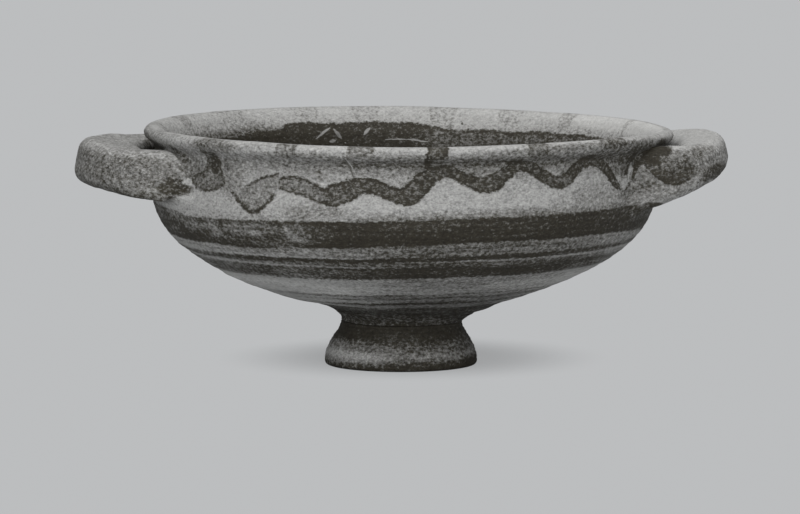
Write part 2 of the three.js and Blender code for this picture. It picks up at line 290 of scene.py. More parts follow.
def slip_group():
    """Dark brushed slip: frayed and pooled at its edges, thin in streaks, and worn to a stipple. Its wash input also
    lays painted shade.
    """
    tree, given, result = new_tree(
        "brushed_slip",
        "ShaderNodeTree",
        [
            ("Solid", "NodeSocketFloat", -9.0),
            ("Strength", "NodeSocketFloat", 1.0),
            ("Thin", "NodeSocketFloat", -9.0),
            ("Thinness", "NodeSocketFloat", 0.5),
            ("Pooling", "NodeSocketFloat", 0.0),
            # The wash input: washes of thin slip and dirt, and painted shade laid the same way
            ("Wash", "NodeSocketFloat", 0.0),
            ("Rubbed", "NodeSocketFloat", 0.0),
            ("Streaks", "NodeSocketFloat", 0.3),
            ("Blotches", "NodeSocketFloat", 0.3),
            ("Speckle", "NodeSocketFloat", 1.0),
        ],
        [("Cover", "NodeSocketFloat"), ("Thick", "NodeSocketFloat")],
    )
    place = flattened(tree, grain_flatness)
    patches = noise(tree, place, 130, 4, 0.65)
    fray = calc(tree, "MULTIPLY", noise(tree, place, 640, 3, 0.7), 2.3)
    solid_edge = ramp(tree, calc(tree, "ADD", given["Solid"], fray), -0.5, 0.55)
    thin_depth = calc(tree, "ADD", given["Thin"], fray)
    thin_edge = ramp(tree, thin_depth, -0.5, 0.5)
    pooled = calc(tree, "MULTIPLY", ramp(tree, thin_depth, 0.4, 1.4, 1, 0), given["Pooling"])
    pooled = calc(tree, "MULTIPLY", pooled, ramp(tree, patches, -0.16, 0.12, 0.3, 1.15))
    solid = calc(tree, "MULTIPLY", solid_edge, given["Strength"])
    thin = calc(tree, "MULTIPLY", thin_edge, calc(tree, "ADD", given["Thinness"], pooled))
    level = flattened(tree, 20)
    streaks = calc(tree, "MULTIPLY", noise(tree, level, 41, 3, 0.6), given["Streaks"])
    blotches = calc(tree, "MULTIPLY", patches, given["Blotches"])
    amount = calc(tree, "MAXIMUM", calc(tree, "MAXIMUM", solid, thin), given["Wash"])
    amount = calc(tree, "ADD", amount, calc(tree, "ADD", streaks, blotches))
    rubbing = calc(tree, "MULTIPLY", ramp(tree, patches, -0.06, 0.14), given["Rubbed"])
    amount = calc(tree, "SUBTRACT", amount, calc(tree, "MULTIPLY", rubbing, 0.75))
    grain = noise(tree, place, 800, 3, 0.75)
    grain = calc(tree, "MULTIPLY", calc(tree, "MULTIPLY", grain, given["Speckle"]), 2.6)
    cover = calc(tree, "ADD", calc(tree, "MULTIPLY_ADD", amount, 1.36, -0.17), grain)
    cover = add(tree, "ShaderNodeClamp", {0: cover})
    chips = ramp(tree, noise(tree, place, 520, 2, 0.6), 0.235, 0.30, 1.0, 0.25)
    join(tree, calc(tree, "MULTIPLY", cover, chips), result["Cover"])
    join(tree, ramp(tree, calc(tree, "MULTIPLY_ADD", grain, 0.5, amount), 0.7, 1.25), result["Thick"])
    return tree


def clay(name, ground=pale_clay, pitting=0.4, grit=0.3, bump=0.35, fields=(), fixed=None, marks=()):
    """Fired clay of one ground colour, with dark slip, painted shade and painted light wherever the piece's fields
    or values put them.
    """
    material = bpy.data.materials.new(name)
    material.use_nodes = True
    tree = material.node_tree
    shader = tree.nodes["Principled BSDF"]
    grain = tree.nodes.new("ShaderNodeGroup")
    grain.node_tree = sandy_clay
    grain.inputs["Pitting"].default_value = pitting
    grain.inputs["Grit"].default_value = grit
    slip = tree.nodes.new("ShaderNodeGroup")
    slip.node_tree = brushed_slip
    for key in fields:
        field = add(tree, "ShaderNodeAttribute", output="Fac", attribute_name=key.lower())
        join(tree, field, (grain if key in grain.inputs else slip).inputs[key])
    for key, value in (fixed or {}).items():
        slip.inputs[key].default_value = value
    cover = slip.outputs["Cover"]
    for group, values, lighter in marks:
        mark = tree.nodes.new("ShaderNodeGroup")
        mark.node_tree = group
        for key, value in values.items():
            mark.inputs[key].default_value = value
        if lighter:
            cover = calc(tree, "MULTIPLY", cover, calc(tree, "SUBTRACT", 1, mark.outputs["Mark"]))
        else:
            cover = calc(tree, "MAXIMUM", cover, mark.outputs["Mark"])
    slip_color = mixed_color(tree, slip.outputs["Thick"], (*thin_slip, 1), (*dark_slip, 1))
    color = mixed_color(tree, cover, (*ground, 1), slip_color)
    toned = add(tree, "ShaderNodeVectorMath", {0: color, "Scale": grain.outputs["Tone"]}, operation="SCALE")
    join(tree, toned, shader.inputs["Base Color"])
    join(tree, ramp(tree, cover, 0.0, 1.0, 0.93, 0.76), shader.inputs["Roughness"])
    shader.inputs["Specular IOR Level"].default_value = 0.3
    inputs = {"Height": grain.outputs["Height"], "Strength": bump, "Distance": 0.3 * mm}
    join(tree, add(tree, "ShaderNodeBump", inputs), shader.inputs["Normal"])
    return material


def mixed_color(tree, share, first, second):
    node = tree.nodes.new("ShaderNodeMix")
    node.data_type = "RGBA"
    join(tree, share, node.inputs["Factor"])
    for socket, value in ((node.inputs[6], first), (node.inputs[7], second)):
        join(tree, value, socket)
    return node.outputs[2]


wheel = wheel_tree()
sandy_clay = grain_group()
brushed_slip = slip_group()

foot_outline = [(0, recess_depth)]
foot_outline += bezier((0, recess_depth), (11.6 * mm, recess_depth), (15 * mm, 5.2 * mm),
                       (rest_ring_inner, 0), 14)
foot_outline += bezier((rest_ring_inner, 0), (18 * mm, 0), (21 * mm, 0), (rest_ring_outer, 0), 5)
foot_outline += bezier((rest_ring_outer, 0), (24 * mm, 0), (foot_radius, 0.5 * mm),
                       (foot_radius, foot_edge), 8)
foot_outline += bezier((foot_radius, foot_edge), (24.6 * mm, 6.3 * mm), (19.9 * mm, 10.5 * mm),
                       (neck_radius, 13.8 * mm), 46)
foot_outline += [(neck_radius - 0.4 * mm, foot_height), (0, foot_height)]


def foot_stiff(r, z):
    return 0.0 if z > foot_edge and r > neck_radius - 0.1 * mm else 1.0


foot_material = clay("foot_clay", pitting=0.7, fields=("Wash", "Speckle"), fixed={"Blotches": 0.5})
foot = thrown("foot_thrown", foot_outline, foot_stiff, {
    "Around": 300,
    "Ring Depth": 0.10 * mm,
    "Ring Pitch": 2.6 * mm,
    "Unevenness": 0.7 * mm,
    "Lump Size": 9 * mm,
    "Seed": 3.0,
    "Material": foot_material,
})
foot_spots = spots(foot.data)
foot_degrees = np.degrees(np.arctan2(foot_spots[:, 0], -foot_spots[:, 1]))
neck_press = 0.4
# The slip runs down from the neck and is worn off above the edge: (height, how dark) at the left and right. The
# right is darker than the left, and darker still low at the right, partly slip and partly painted shade.
foot_wear_left = [(0.5, 1.0), (1.2, 0.94), (2.0, 0.72), (2.8, 0.54), (3.6, 0.28), (4.6, 0.06), (5.4, 0.14),
                  (6.3, 0.46), (8.0, 0.60), (9.2, 0.82), (10.4, 0.98)]
foot_wear_and_shade_right = [(0.5, 1.0), (1.8, 1.0), (2.6, 0.86), (3.4, 0.64), (4.3, 0.53), (5.3, 0.60), (6.6, 0.72),
                   (8.0, 0.76), (9.4, 0.86), (11.5, 0.95), (13.0, 1.0)]
to_right = smooth(np.sin(np.radians(foot_degrees)), -0.75, 0.10)
worn_left = np.interp(foot_spots[:, 2], *np.transpose(foot_wear_left))
worn_right = np.interp(foot_spots[:, 2], *np.transpose(foot_wear_and_shade_right))
foot_wash = worn_left * (1 - to_right) + worn_right * to_right
foot_wash += 0.2 * smooth(np.sin(np.radians(foot_degrees)), 0.7, 0.95) * smooth(-foot_spots[:, 2], -5.0, -3.6)
foot_speckle = 1 - 0.45 * smooth(foot_wash, 0.7, 1.0) * smooth(foot_spots[:, 2], 5, 9)
note(foot.data, wash=foot_wash, speckle=foot_speckle)
pressed_in = neck_press * smooth(-foot_spots[:, 0], 8, 16) * smooth(foot_spots[:, 2], 8.5, 12)
move_to(foot.data, foot_spots + np.column_stack([pressed_in, 0 * pressed_in, 0 * pressed_in]))
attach(foot, "root")
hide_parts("foot")

# Slip between the foot and the bowl
# A thin layer of liquid clay, spread over the head of the foot before the bowl is set down on it.
# It is squeezed out toward its edge and can't be seen once the bowl is on.
disc_low, disc_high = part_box("foot_luting_disc")
disc_round = 0.3 * mm
disc_outline = [
    (0, disc_low.z),
    (disc_high.x - disc_round, disc_low.z),
    (disc_high.x, disc_low.z + disc_round),
    (disc_high.x, disc_high.z - disc_round),
    (disc_high.x - disc_round, disc_high.z),
    (0, disc_high.z),
]
disc = thrown("slip_layer", disc_outline, lambda r, z: 1.0, {
    "Around": 96,
    "Material": clay("slip_layer_clay"),
})
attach(disc, "root")
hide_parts("foot_luting_disc")

# Bowl
# Thrown in one piece with its everted lip, dipped in pale slip, then painted in dark slip: bands and
# lines while it turned on the wheel, and a wave line and bars over the lip by hand. Fired, then worn.
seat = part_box("bowl")[0].z
lip_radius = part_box("bowl")[1].y
wall_radius = lip_radius - 4 * mm
inner_radius = wall_radius - 6 * mm
lip_inner_radius = lip_radius - 7.4 * mm
bowl_height = 60.4 * mm
lip_top = seat + bowl_height
shoulder = lip_top - 18.2 * mm
lip_foot = lip_top - 7 * mm
lip_edge = lip_top - 1.9 * mm
lip_inner = lip_top - 2.8 * mm
floor_height = seat + 6.5 * mm
underside_radius = 17 * mm
belly_slope = math.radians(17.4)
belly_run = 33 * mm
belly_rise = 23.6 * mm
crown_radius = lip_radius - 3 * mm
uneven_room = 0.2 * mm
fillet_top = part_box("foot_luting_ring")[1].z + 0.9 * mm

bowl_shift = 0.7
rim_shift = 1.8
rim_roll = 0.72
rim_pitch = 0.43
rim_twist = 0.44

underside = (underside_radius, seat)
belly_leaving = (
    underside_radius + belly_run * math.cos(belly_slope),
    seat + belly_run * math.sin(belly_slope),
)
outside = [(0, seat), (9 * mm, seat), underside]
outside += bezier(underside, belly_leaving, (wall_radius, shoulder - belly_rise), (wall_radius, shoulder), 108)
outside += bezier((wall_radius, shoulder), (wall_radius, 62 * mm), (wall_radius, 66 * mm),
                  (wall_radius, lip_foot), 14)
lip_middle = (lip_foot + lip_edge) / 2
lip_out = lip_radius - uneven_room
crown = lip_top - 0.05 * mm
outside += bezier((wall_radius, lip_foot), (wall_radius, lip_middle), (lip_out, lip_middle),
                  (lip_out, lip_edge), 10)
outside += bezier((lip_out, lip_edge), (lip_out, lip_edge + 1.14 * mm),
                  (lip_out - 1.2 * mm, crown), (crown_radius, crown), 7)
inside = bezier((crown_radius, crown), (79.4 * mm, crown), (78.04 * mm, lip_inner + 1.4 * mm),
                (lip_inner_radius, lip_inner), 8)
inside += bezier((lip_inner_radius, lip_inner), (75.9 * mm, 70.4 * mm), (inner_radius, 69 * mm),
                 (inner_radius, 66 * mm), 10)
inside += bezier((inner_radius, 66 * mm), (inner_radius, 63 * mm), (inner_radius, 61 * mm),
                 (inner_radius, shoulder), 8)
inside += bezier((inner_radius, shoulder), (inner_radius, shoulder - 20 * mm), (34 * mm, floor_height),
                 (0, floor_height), 34)
crown_row = len(outside) - 1
lip_edge_row = crown_row - 7
inner_edge_row = crown_row + 8


def bowl_stiff(r, z):
    return 1 - float(smooth(r, underside_radius + 2 * mm, underside_radius + 14 * mm))


def settle(places):
    """Moves places, in millimetres, as drying and firing moved the bowl and all that is joined to it."""
    x, y, z = places.T
    across = x / (lip_radius / mm)
    back = y / (lip_radius / mm)
    lift = rim_pitch * back - rim_roll * across - 2 * rim_twist * across * back
    lift = lift * smooth(z, fillet_top / mm, shoulder / mm)
    lift += 0.38 * smooth(across, -0.75, 0.0) * smooth(back, 0.1, 0.5) * smooth(z, 66, 74)
    lift += 0.58 * np.where(back < 0, np.abs(2 * across * back) ** 1.4, 0) * smooth(z, 69, 75)
    out = np.hypot(x, y)
    beneath = 1 - smooth(z, 19.5, 25)
    lift += 1.05 * smooth(-x, 8, 24) * smooth(-np.abs(out - 28), -11, -3) * beneath
    lift -= 0.6 * smooth(x, 8, 22) * smooth(-np.abs(out - 25), -8, -2) * (1 - smooth(z, 18.5, 22))
    drift = rim_shift * smooth(z, shoulder / mm - 9.1, lip_top / mm)
    drift += 0.5 * smooth(-x, 40, 62) * smooth(-np.abs(z - 34.4), -5.5, -2.5)
    drift -= 0.3 * smooth(-x, 34, 48) * smooth(-np.abs(z - 28.4), -3.5, -1.5)
    return np.column_stack([x + bowl_shift + drift, y, z + lift])


# The paint's places are (degrees round from the front, height in mm). A route adds the brush's
# half width in mm.
first_patch = [(-41.3, 60.5), (-38.9, 58.1), (-37.4, 56.1), (-34.7, 55.2), (-32.5, 56.9), (-30.9, 59.4),
               (-29.6, 61.2), (-28.7, 63.6), (-29.2, 66.8), (-33.5, 65.6), (-36.1, 63.4), (-39.3, 62.2)]
first_patch_below = [(-41.8, 61.0, 0.6), (-39.4, 58.4, 0.75), (-37.3, 56.1, 0.85), (-35.0, 55.2, 0.8),
                     (-33.0, 56.2, 0.7), (-31.2, 58.8, 0.75), (-29.7, 60.6, 0.5)]
first_patch_above = [(-37.0, 63.0, 0.55), (-34.4, 64.8, 0.7), (-32.0, 66.0, 0.7), (-29.4, 67.0, 0.6)]
second_stroke = [(-27.6, 64.3, 2.4), (-24.5, 63.9, 2.8), (-21.4, 62.7, 2.7), (-18.6, 60.9, 2.4)]
long_stroke = [
    (-16.0, 61.1, 3.6), (-12.4, 62.9, 3.4), (-9.5, 64.3, 2.6), (-6.6, 63.9, 2.4), (-2.3, 61.6, 2.4),
    (0.9, 61.7, 3.3), (3.2, 65.1, 3.3), (6.2, 68.3, 2.3), (9.4, 68.4, 1.9), (12.7, 66.3, 1.9),
    (15.8, 64.6, 2.3), (19.0, 64.9, 3.0), (21.4, 67.4, 2.5), (24.2, 69.8, 1.9), (27.4, 69.3, 1.9),
    (31.0, 66.4, 1.9), (34.2, 64.4, 2.1), (37.2, 64.8, 2.5), (39.6, 67.8, 2.2), (42.4, 69.9, 1.9),
    (46.6, 69.8, 1.8), (50.2, 66.4, 1.7), (53.2, 62.8, 1.4), (55.6, 60.6, 0.8),
]
root_drop = [(-55.6, 64.6), (-55.4, 62.4), (-53.6, 60.4), (-50.6, 59.7), (-47.4, 60.2), (-44.8, 61.6), (-43.4, 63.4),
             (-44.4, 66.0), (-45.6, 68.0), (-49.6, 68.0), (-52.2, 66.0)]
root_spot = [(-46.6, 65.0, 0.8), (-44.4, 62.8, 1.1)]
root_trail = [(-50.6, 66.5, 1.2), (-49.4, 70.0, 1.5), (-49.6, 73.5, 1.6)]
root_crease = [(-63.0, 71.8, 1.2), (-59.8, 70.0, 1.4), (-57.0, 68.2, 1.0)]
split_left = [(60.0, 71.0, 1.2), (58.4, 67.8, 1.1), (57.2, 64.6, 0.9)]
split_right = [(62.8, 69.6, 1.1), (61.0, 66.2, 1.0), (60.3, 63.4, 0.8)]
split_end = [(59.2, 64.0, 0.5), (59.3, 61.6, 0.7), (57.8, 59.9, 0.6), (56.0, 60.2, 0.5)]
lip_drip = [(4.3, 76, 1.2), (4.0, 72.5, 1.1), (4.4, 70, 1.3)]
ring_mark = [(-20.0 + 0.85 * math.cos(a), 67.9 + 1.0 * math.sin(a), 0.42) for a in np.linspace(-0.6, 3.6, 8)]
# Each with how dark it is inside, and how much darker along its edges.
strokes = [
    (second_stroke, 0.60, 0.34), (long_stroke, 0.84, 0.2), (root_spot, 0.90, 0.0), (root_trail, 0.80, 0.0),
    (root_crease, 0.74, 0.0), (first_patch_below, 0.95, 0.0), (first_patch_above, 0.9, 0.0),
    (split_left, 1.0, 0.0), (split_right, 1.0, 0.0), (split_end, 0.9, 0.0), (lip_drip, 1.0, 0.0),
    (ring_mark, 0.85, 0.0),
]
patches = [(first_patch, 0.50, 0.0), (root_drop, 0.66, 0.2)]
# Where the paint is knocked off, down to clean clay: (degrees, height), reach in degrees and mm, and how bare.
bare_places = [(-57.8, 62.2, 2.8, 1.7, 1.0), (57.4, 62.2, 1.5, 2.2, 1.0), (59.5, 65.4, 0.6, 3.4, 0.9)]
# Painted highlight: where the skin inside the lip at the right is made paler and smoother, on the side the light
# falls on.
painted_highlight_places = [(102, 75, 74, 6, 1.0), (150, 75, 34, 5, 0.6)]
# Painted light: where the clay is made paler underneath, most at the left, and under the left handle's root, against
# the shade there: (degrees, height), reach in degrees and mm, and how much.
painted_light_places = [(-52, 29.8, 44, 4.4, 0.46), (56, 30.0, 44, 4.6, 0.42), (0, 28.4, 60, 2.4, 0.14),
               (-28, 28.6, 28, 3.0, 0.48), (-46, 23.5, 44, 5, 0.34), (75, 24, 34, 5, 0.18),
               (-60.5, 57.8, 8, 3.6, 0.50)]
# How smooth the lip's own skin is, by degrees.
wiped_lip = [(-180, 0.50), (-150, 0.42), (-130, 0.2), (-100, 0.1), (-56, 0.1), (-40, 0.25), (-22, 0.50), (180, 0.50)]
# The main band's edges as they run round each half of the bowl, also (degrees, height).
main_band_top = [(-90, 54.6), (-83, 53.5), (-77, 52.9), (-71.6, 52.7), (-67.0, 53.2), (-62.2, 52.7), (-57.8, 51.7), (-42, 52.3),
                 (-20.9, 53.3), (-3, 53.6), (14.5, 54.2), (33.9, 54.4), (61.5, 55.1), (76.8, 56.2), (83, 55.7), (90, 54.6)]
main_band_bottom = [(-90, 42.9), (-62.5, 43.1), (-32.9, 43.3), (-22, 44.2), (1.5, 45.3), (20.1, 46.0),
                    (56.1, 46.5), (75, 45.6), (90, 42.9)]
# How far it is smeared upward, by degrees.
smear_share = [(-180, 0.3), (-76, 0.4), (-60, 0.14), (-42, 0.30), (-20, 0.34), (-8, 0.54), (12, 0.60),
               (42, 0.62), (70, 0.62), (180, 0.3)]
# Where across the bowl the next strengths hold, as the sine of the degrees round from the front.
across_bowl = (-0.9, -0.7, -0.35, 0.05, 0.7, 0.95)
# Top and bottom of each lower band at the front, how much higher each is at the right, and its strengths.
bands = [
    (41.6, 1.5, 39.6, 1.4, (0.80, 0.95, 0.98, 1.06, 1.0, 0.72)),
    (38.25, 0.8, 33.7, 1.0, (0.64, 0.78, 0.84, 1.0, 0.95, 0.62)),
    (27.6, 0.9, 26.7, 0.8, (0.10, 0.35, 0.80, 0.86, 0.76, 0.4)),
    (26.2, 0.9, 25.2, 0.8, (0.10, 0.30, 0.75, 0.82, 0.72, 0.4)),
    (24.2, 0.8, 22.9, 0.7, (0.20, 0.40, 0.86, 0.94, 0.84, 0.5)),
    (21.7, 0.4, 0.0, 0.0, (0.60, 0.68, 0.77, 0.83, 0.80, 0.70)),
]
# The upper edge of the slip inside.
inner_paint_top = [(-180, 71.3), (-173, 71.6), (-169, 71.3), (-164, 71.3), (-160, 71.3), (-156, 71.3),
                   (-152, 71.5), (-147.8, 71.3),
                   (-146.2, 70.2), (-140, 69.6), (-134, 68.7), (-120, 68.5), (-90, 68.6), (0, 68.8), (90, 69.8), (122, 70.1),
                   (142, 70.3), (153, 69.8), (163, 69.8), (170, 69.7), (176, 70.8), (180, 71.3)]
inner_strength = [(-180, 0.98), (-174, 0.99), (-150, 1.0), (-120, 1.0), (0, 0.92), (120, 0.80), (140, 0.78),
                  (160, 0.80), (167, 0.74), (173, 0.76), (178, 0.94), (180, 0.98)]
# Painted shade under the lip's overhang, with dirt and thin slip gathered there: (height, strength), and (degrees,
# share of it).
under_lip_shade_and_dirt = [(61, 0), (64.5, 0.12), (66.2, 0.32), (67.4, 0.39), (68.7, 0.46), (69.3, 0.58), (69.9, 0.69),
             (70.5, 0.75), (71.2, 0.73), (72.0, 0.68), (72.6, 0.61), (73.3, 0.49), (74.2, 0.29), (75.0, 0.14),
             (76.2, 0.10)]
under_lip_shade_share = [(-180, 0.8), (-100, 0.7), (-70, 0.62), (-37, 0.60), (-22, 0.78), (-10, 0.98), (12, 1.02), (26, 0.94), (38, 0.98),
                   (44, 1.05), (70, 1.0), (100, 0.8), (180, 0.8)]
# Bars across the lip: degrees, width in degrees, and how dark. At the back they are nearly worn off.
lip_bars = [
    (-46.8, 6.0, 0.52), (-26.6, 4.8, 0.56), (-10.2, 5.8, 0.60), (6.0, 4.6, 0.84), (28.0, 4.8, 0.64),
    (48.6, 8.6, 0.60), (67, 6, 0.20), (88, 6, 0.10), (-71, 6, 0.3), (-92, 6, 0.3), (-112, 6, 0.3),
    (-131.7, 9.0, 0.20), (-154, 7.2, 0.24), (-169.5, 7.2, 0.24), (171.5, 7.2, 0.26), (154.2, 7.0, 0.22),
    (138.0, 5.0, 0.32), (115, 2.0, 0.25),
]
# Soft dark places, washes of slip and dirt, and painted shade: (degrees, height), reach in degrees and mm, and
# strength.
slip_washes_and_shade = [
    (-58, 67.0, 12, 9.6, 0.58), (-42.0, 66.0, 6.5, 11, 0.48), (-47.4, 69.0, 3.4, 6.5, 0.92),
    (-33, 68.5, 14, 5, 0.26), (-20, 68.0, 14, 4, 0.22), (-24, 72.8, 16, 2.2, 0.50),
    (-1.0, 66.4, 7.0, 5.0, 0.42), (-19.4, 66.3, 1.6, 1.8, 0.6), (-31, 75, 12, 2.6, 0.20), (36, 74.0, 34, 2.6, 0.56), (-46, 74, 12, 3.6, 0.56), (-43.5, 69.5, 2.2, 4, 0.6),
    (17, 67.6, 9, 4.0, 0.50), (49, 74.3, 9, 2.3, 0.80), (-38.5, 68, 5, 6, 0.26), (60, 60.5, 9, 7.5, 0.55), (70, 57.5, 9, 3.4, 0.8),
    (7.5, 70.2, 5, 1.4, 0.95), (23.8, 71.0, 4.6, 1.6, 1.0), (42.5, 71.0, 5.5, 1.6, 1.0),
    (36.0, 65.8, 1.6, 3.6, 0.72), (30.2, 68.2, 1.6, 2.8, 0.72), (3.6, 66.0, 2.6, 5.0, 0.92),
    # Slip round the right root, with painted shade under the lip there.
    (60, 70.6, 16, 7.0, 0.82), (67, 67, 5, 6, 0.98), (54, 68.5, 6, 6, 0.66), (56.8, 67.0, 3.8, 6.5, 0.72),
    # The last two on this line and the two on the next: slip and painted shade on the wall inside each handle's
    # loop, under the lip.
    (52, 57.5, 24, 10, 0.34), (64, 56.0, 13, 3.8, 0.5), (90, 62, 29, 12, 0.95), (-90, 62, 29, 12, 0.95),
    (-84, 69.4, 28, 8.0, 1.0), (88, 69.4, 28, 7.0, 1.0),
    # The first two here: painted shade on the lip's outer face at the right.
    (54, 73.2, 14, 3.2, 0.68), (70, 72.4, 14, 2.8, 0.70), (-80, 74, 34, 3.4, 0.24), (-20, 55.8, 12, 4.4, 0.46),
    (36, 75.8, 30, 2.6, 0.16), (-80, 75.6, 36, 5, 0.30), (57.4, 65.5, 3, 5, 0.40),
    # The last here: painted shadow between the right handle and the lip's end.
    (66.5, 64.6, 5.5, 3.0, 0.60), (70.5, 73.4, 5.5, 2.2, 0.90),
]
# How dark the thin slip is between the bands: lowest and highest height, and strengths across the bowl.
reserves = [(41, 47, (0.25, 0.44, 0.50, 0.74, 0.64, 0.3)), (38.0, 40.2, (0.4, 0.62, 0.70, 0.84, 0.82, 0.4)),
            (28, 32.5, (0.0, 0.08, 0.14, 0.46, 0.36, 0.0)), (32, 34.2, (0.0, 0.08, 0.14, 0.6, 0.44, 0.1)),
            (21, 27.5, (0.0, 0.05, 0.20, 0.56, 0.46, 0.1))]
# Where the main band is worn thin, and where it is rubbed off in patches.
worn_places = [(-39.2, 48.9, 10, 3.0, 0.40), (-24.6, 48.6, 6, 4.4, 0.32), (-50, 49.0, 9, 6, 0.20),
               (-57, 50, 6, 6, 0.30), (-19, 48.5, 6, 4, 0.18), (-38, 47.6, 26, 5, 0.18),
               (-30, 45.4, 12, 2.8, 0.24)]
rubbed_places = [(-39.2, 49.0, 8, 4.4, 0.7), (-25.0, 48.8, 7, 4.4, 0.6), (-33, 48.4, 18, 5, 0.4),
                 (-52, 48.4, 12, 5, 0.5), (-68, 50, 12, 7.0, 0.6), (24, 49, 10, 3.5, 0.25),
                 (52, 50, 16, 6, 0.15),
                 (-30, 36, 18, 3.0, 0.3), (-13.5, 61.5, 5, 4.5, 0.5)]


def smoothed(route, steps=6):
    """A line through all the points of a route that turns no corners."""
    p = np.array([route[0], *route, route[-1]], float)
    line = []
    for a, b, c, d in zip(p, p[1:], p[2:], p[3:]):
        for t in np.linspace(0, 1, steps, endpoint=False):
            bend = (2 * a - 5 * b + 4 * c - d) * t * t + (3 * b - a - 3 * c + d) * t ** 3
            line.append((2 * b + (c - a) * t + bend) / 2)
    return np.array([*line, p[-1]])


def in_stroke(degrees, height, route):
    """Depth inside a brush stroke, in mm."""
    line = smoothed(route)
    to_arc = math.radians(1) * wall_radius / mm
    x, y = degrees * to_arc, height
    line[:, 0] *= to_arc
    depth = np.full(len(x), -9.0)
    near = (x > line[:, 0].min() - 9) & (x < line[:, 0].max() + 9)
    x, y = x[near], y[near]
    best = np.full(len(x), -9.0)
    for (x0, y0, w0), (x1, y1, w1) in zip(line, line[1:]):
        dx, dy = x1 - x0, y1 - y0
        t = np.clip(((x - x0) * dx + (y - y0) * dy) / (dx * dx + dy * dy + 1e-9), 0, 1)
        best = np.maximum(best, w0 + (w1 - w0) * t - np.hypot(x - x0 - dx * t, y - y0 - dy * t))
    depth[near] = best
    return depth


def in_patch(degrees, height, corners):
    """Depth inside an outlined patch, in mm."""
    to_arc = math.radians(1) * wall_radius / mm
    x, y = degrees * to_arc, height
    inside_it = np.zeros(len(x), bool)
    nearest = np.full(len(x), 9.0)
    for (a, b), (c, d) in zip(corners, corners[1:] + corners[:1]):
        a, c = a * to_arc, c * to_arc
        crosses = (b > y) != (d > y)
        rise = d - b if d != b else 1e-9
        inside_it ^= crosses & (x < a + (y - b) / rise * (c - a))
        dx, dy = c - a, d - b
        t = np.clip(((x - a) * dx + (y - b) * dy) / (dx * dx + dy * dy), 0, 1)
        nearest = np.minimum(nearest, np.hypot(x - a - dx * t, y - b - dy * t))
    return np.where(inside_it, nearest, -nearest)


def soft_spots(degrees, height, places):
    """The strongest of some soft-edged spots."""
    total = np.zeros(len(degrees))
    for centre, middle, wide, tall, strength in places:
        away = np.hypot((degrees - centre) / wide, (height - middle) / tall)
        total = np.maximum(total, strength * smooth(-away, -1.0, -0.35))
    return total


def round_from(degrees, turn):
    """Degrees round from a place on the rim, from -180 to 180."""
    return (degrees - turn + 180) % 360 - 180


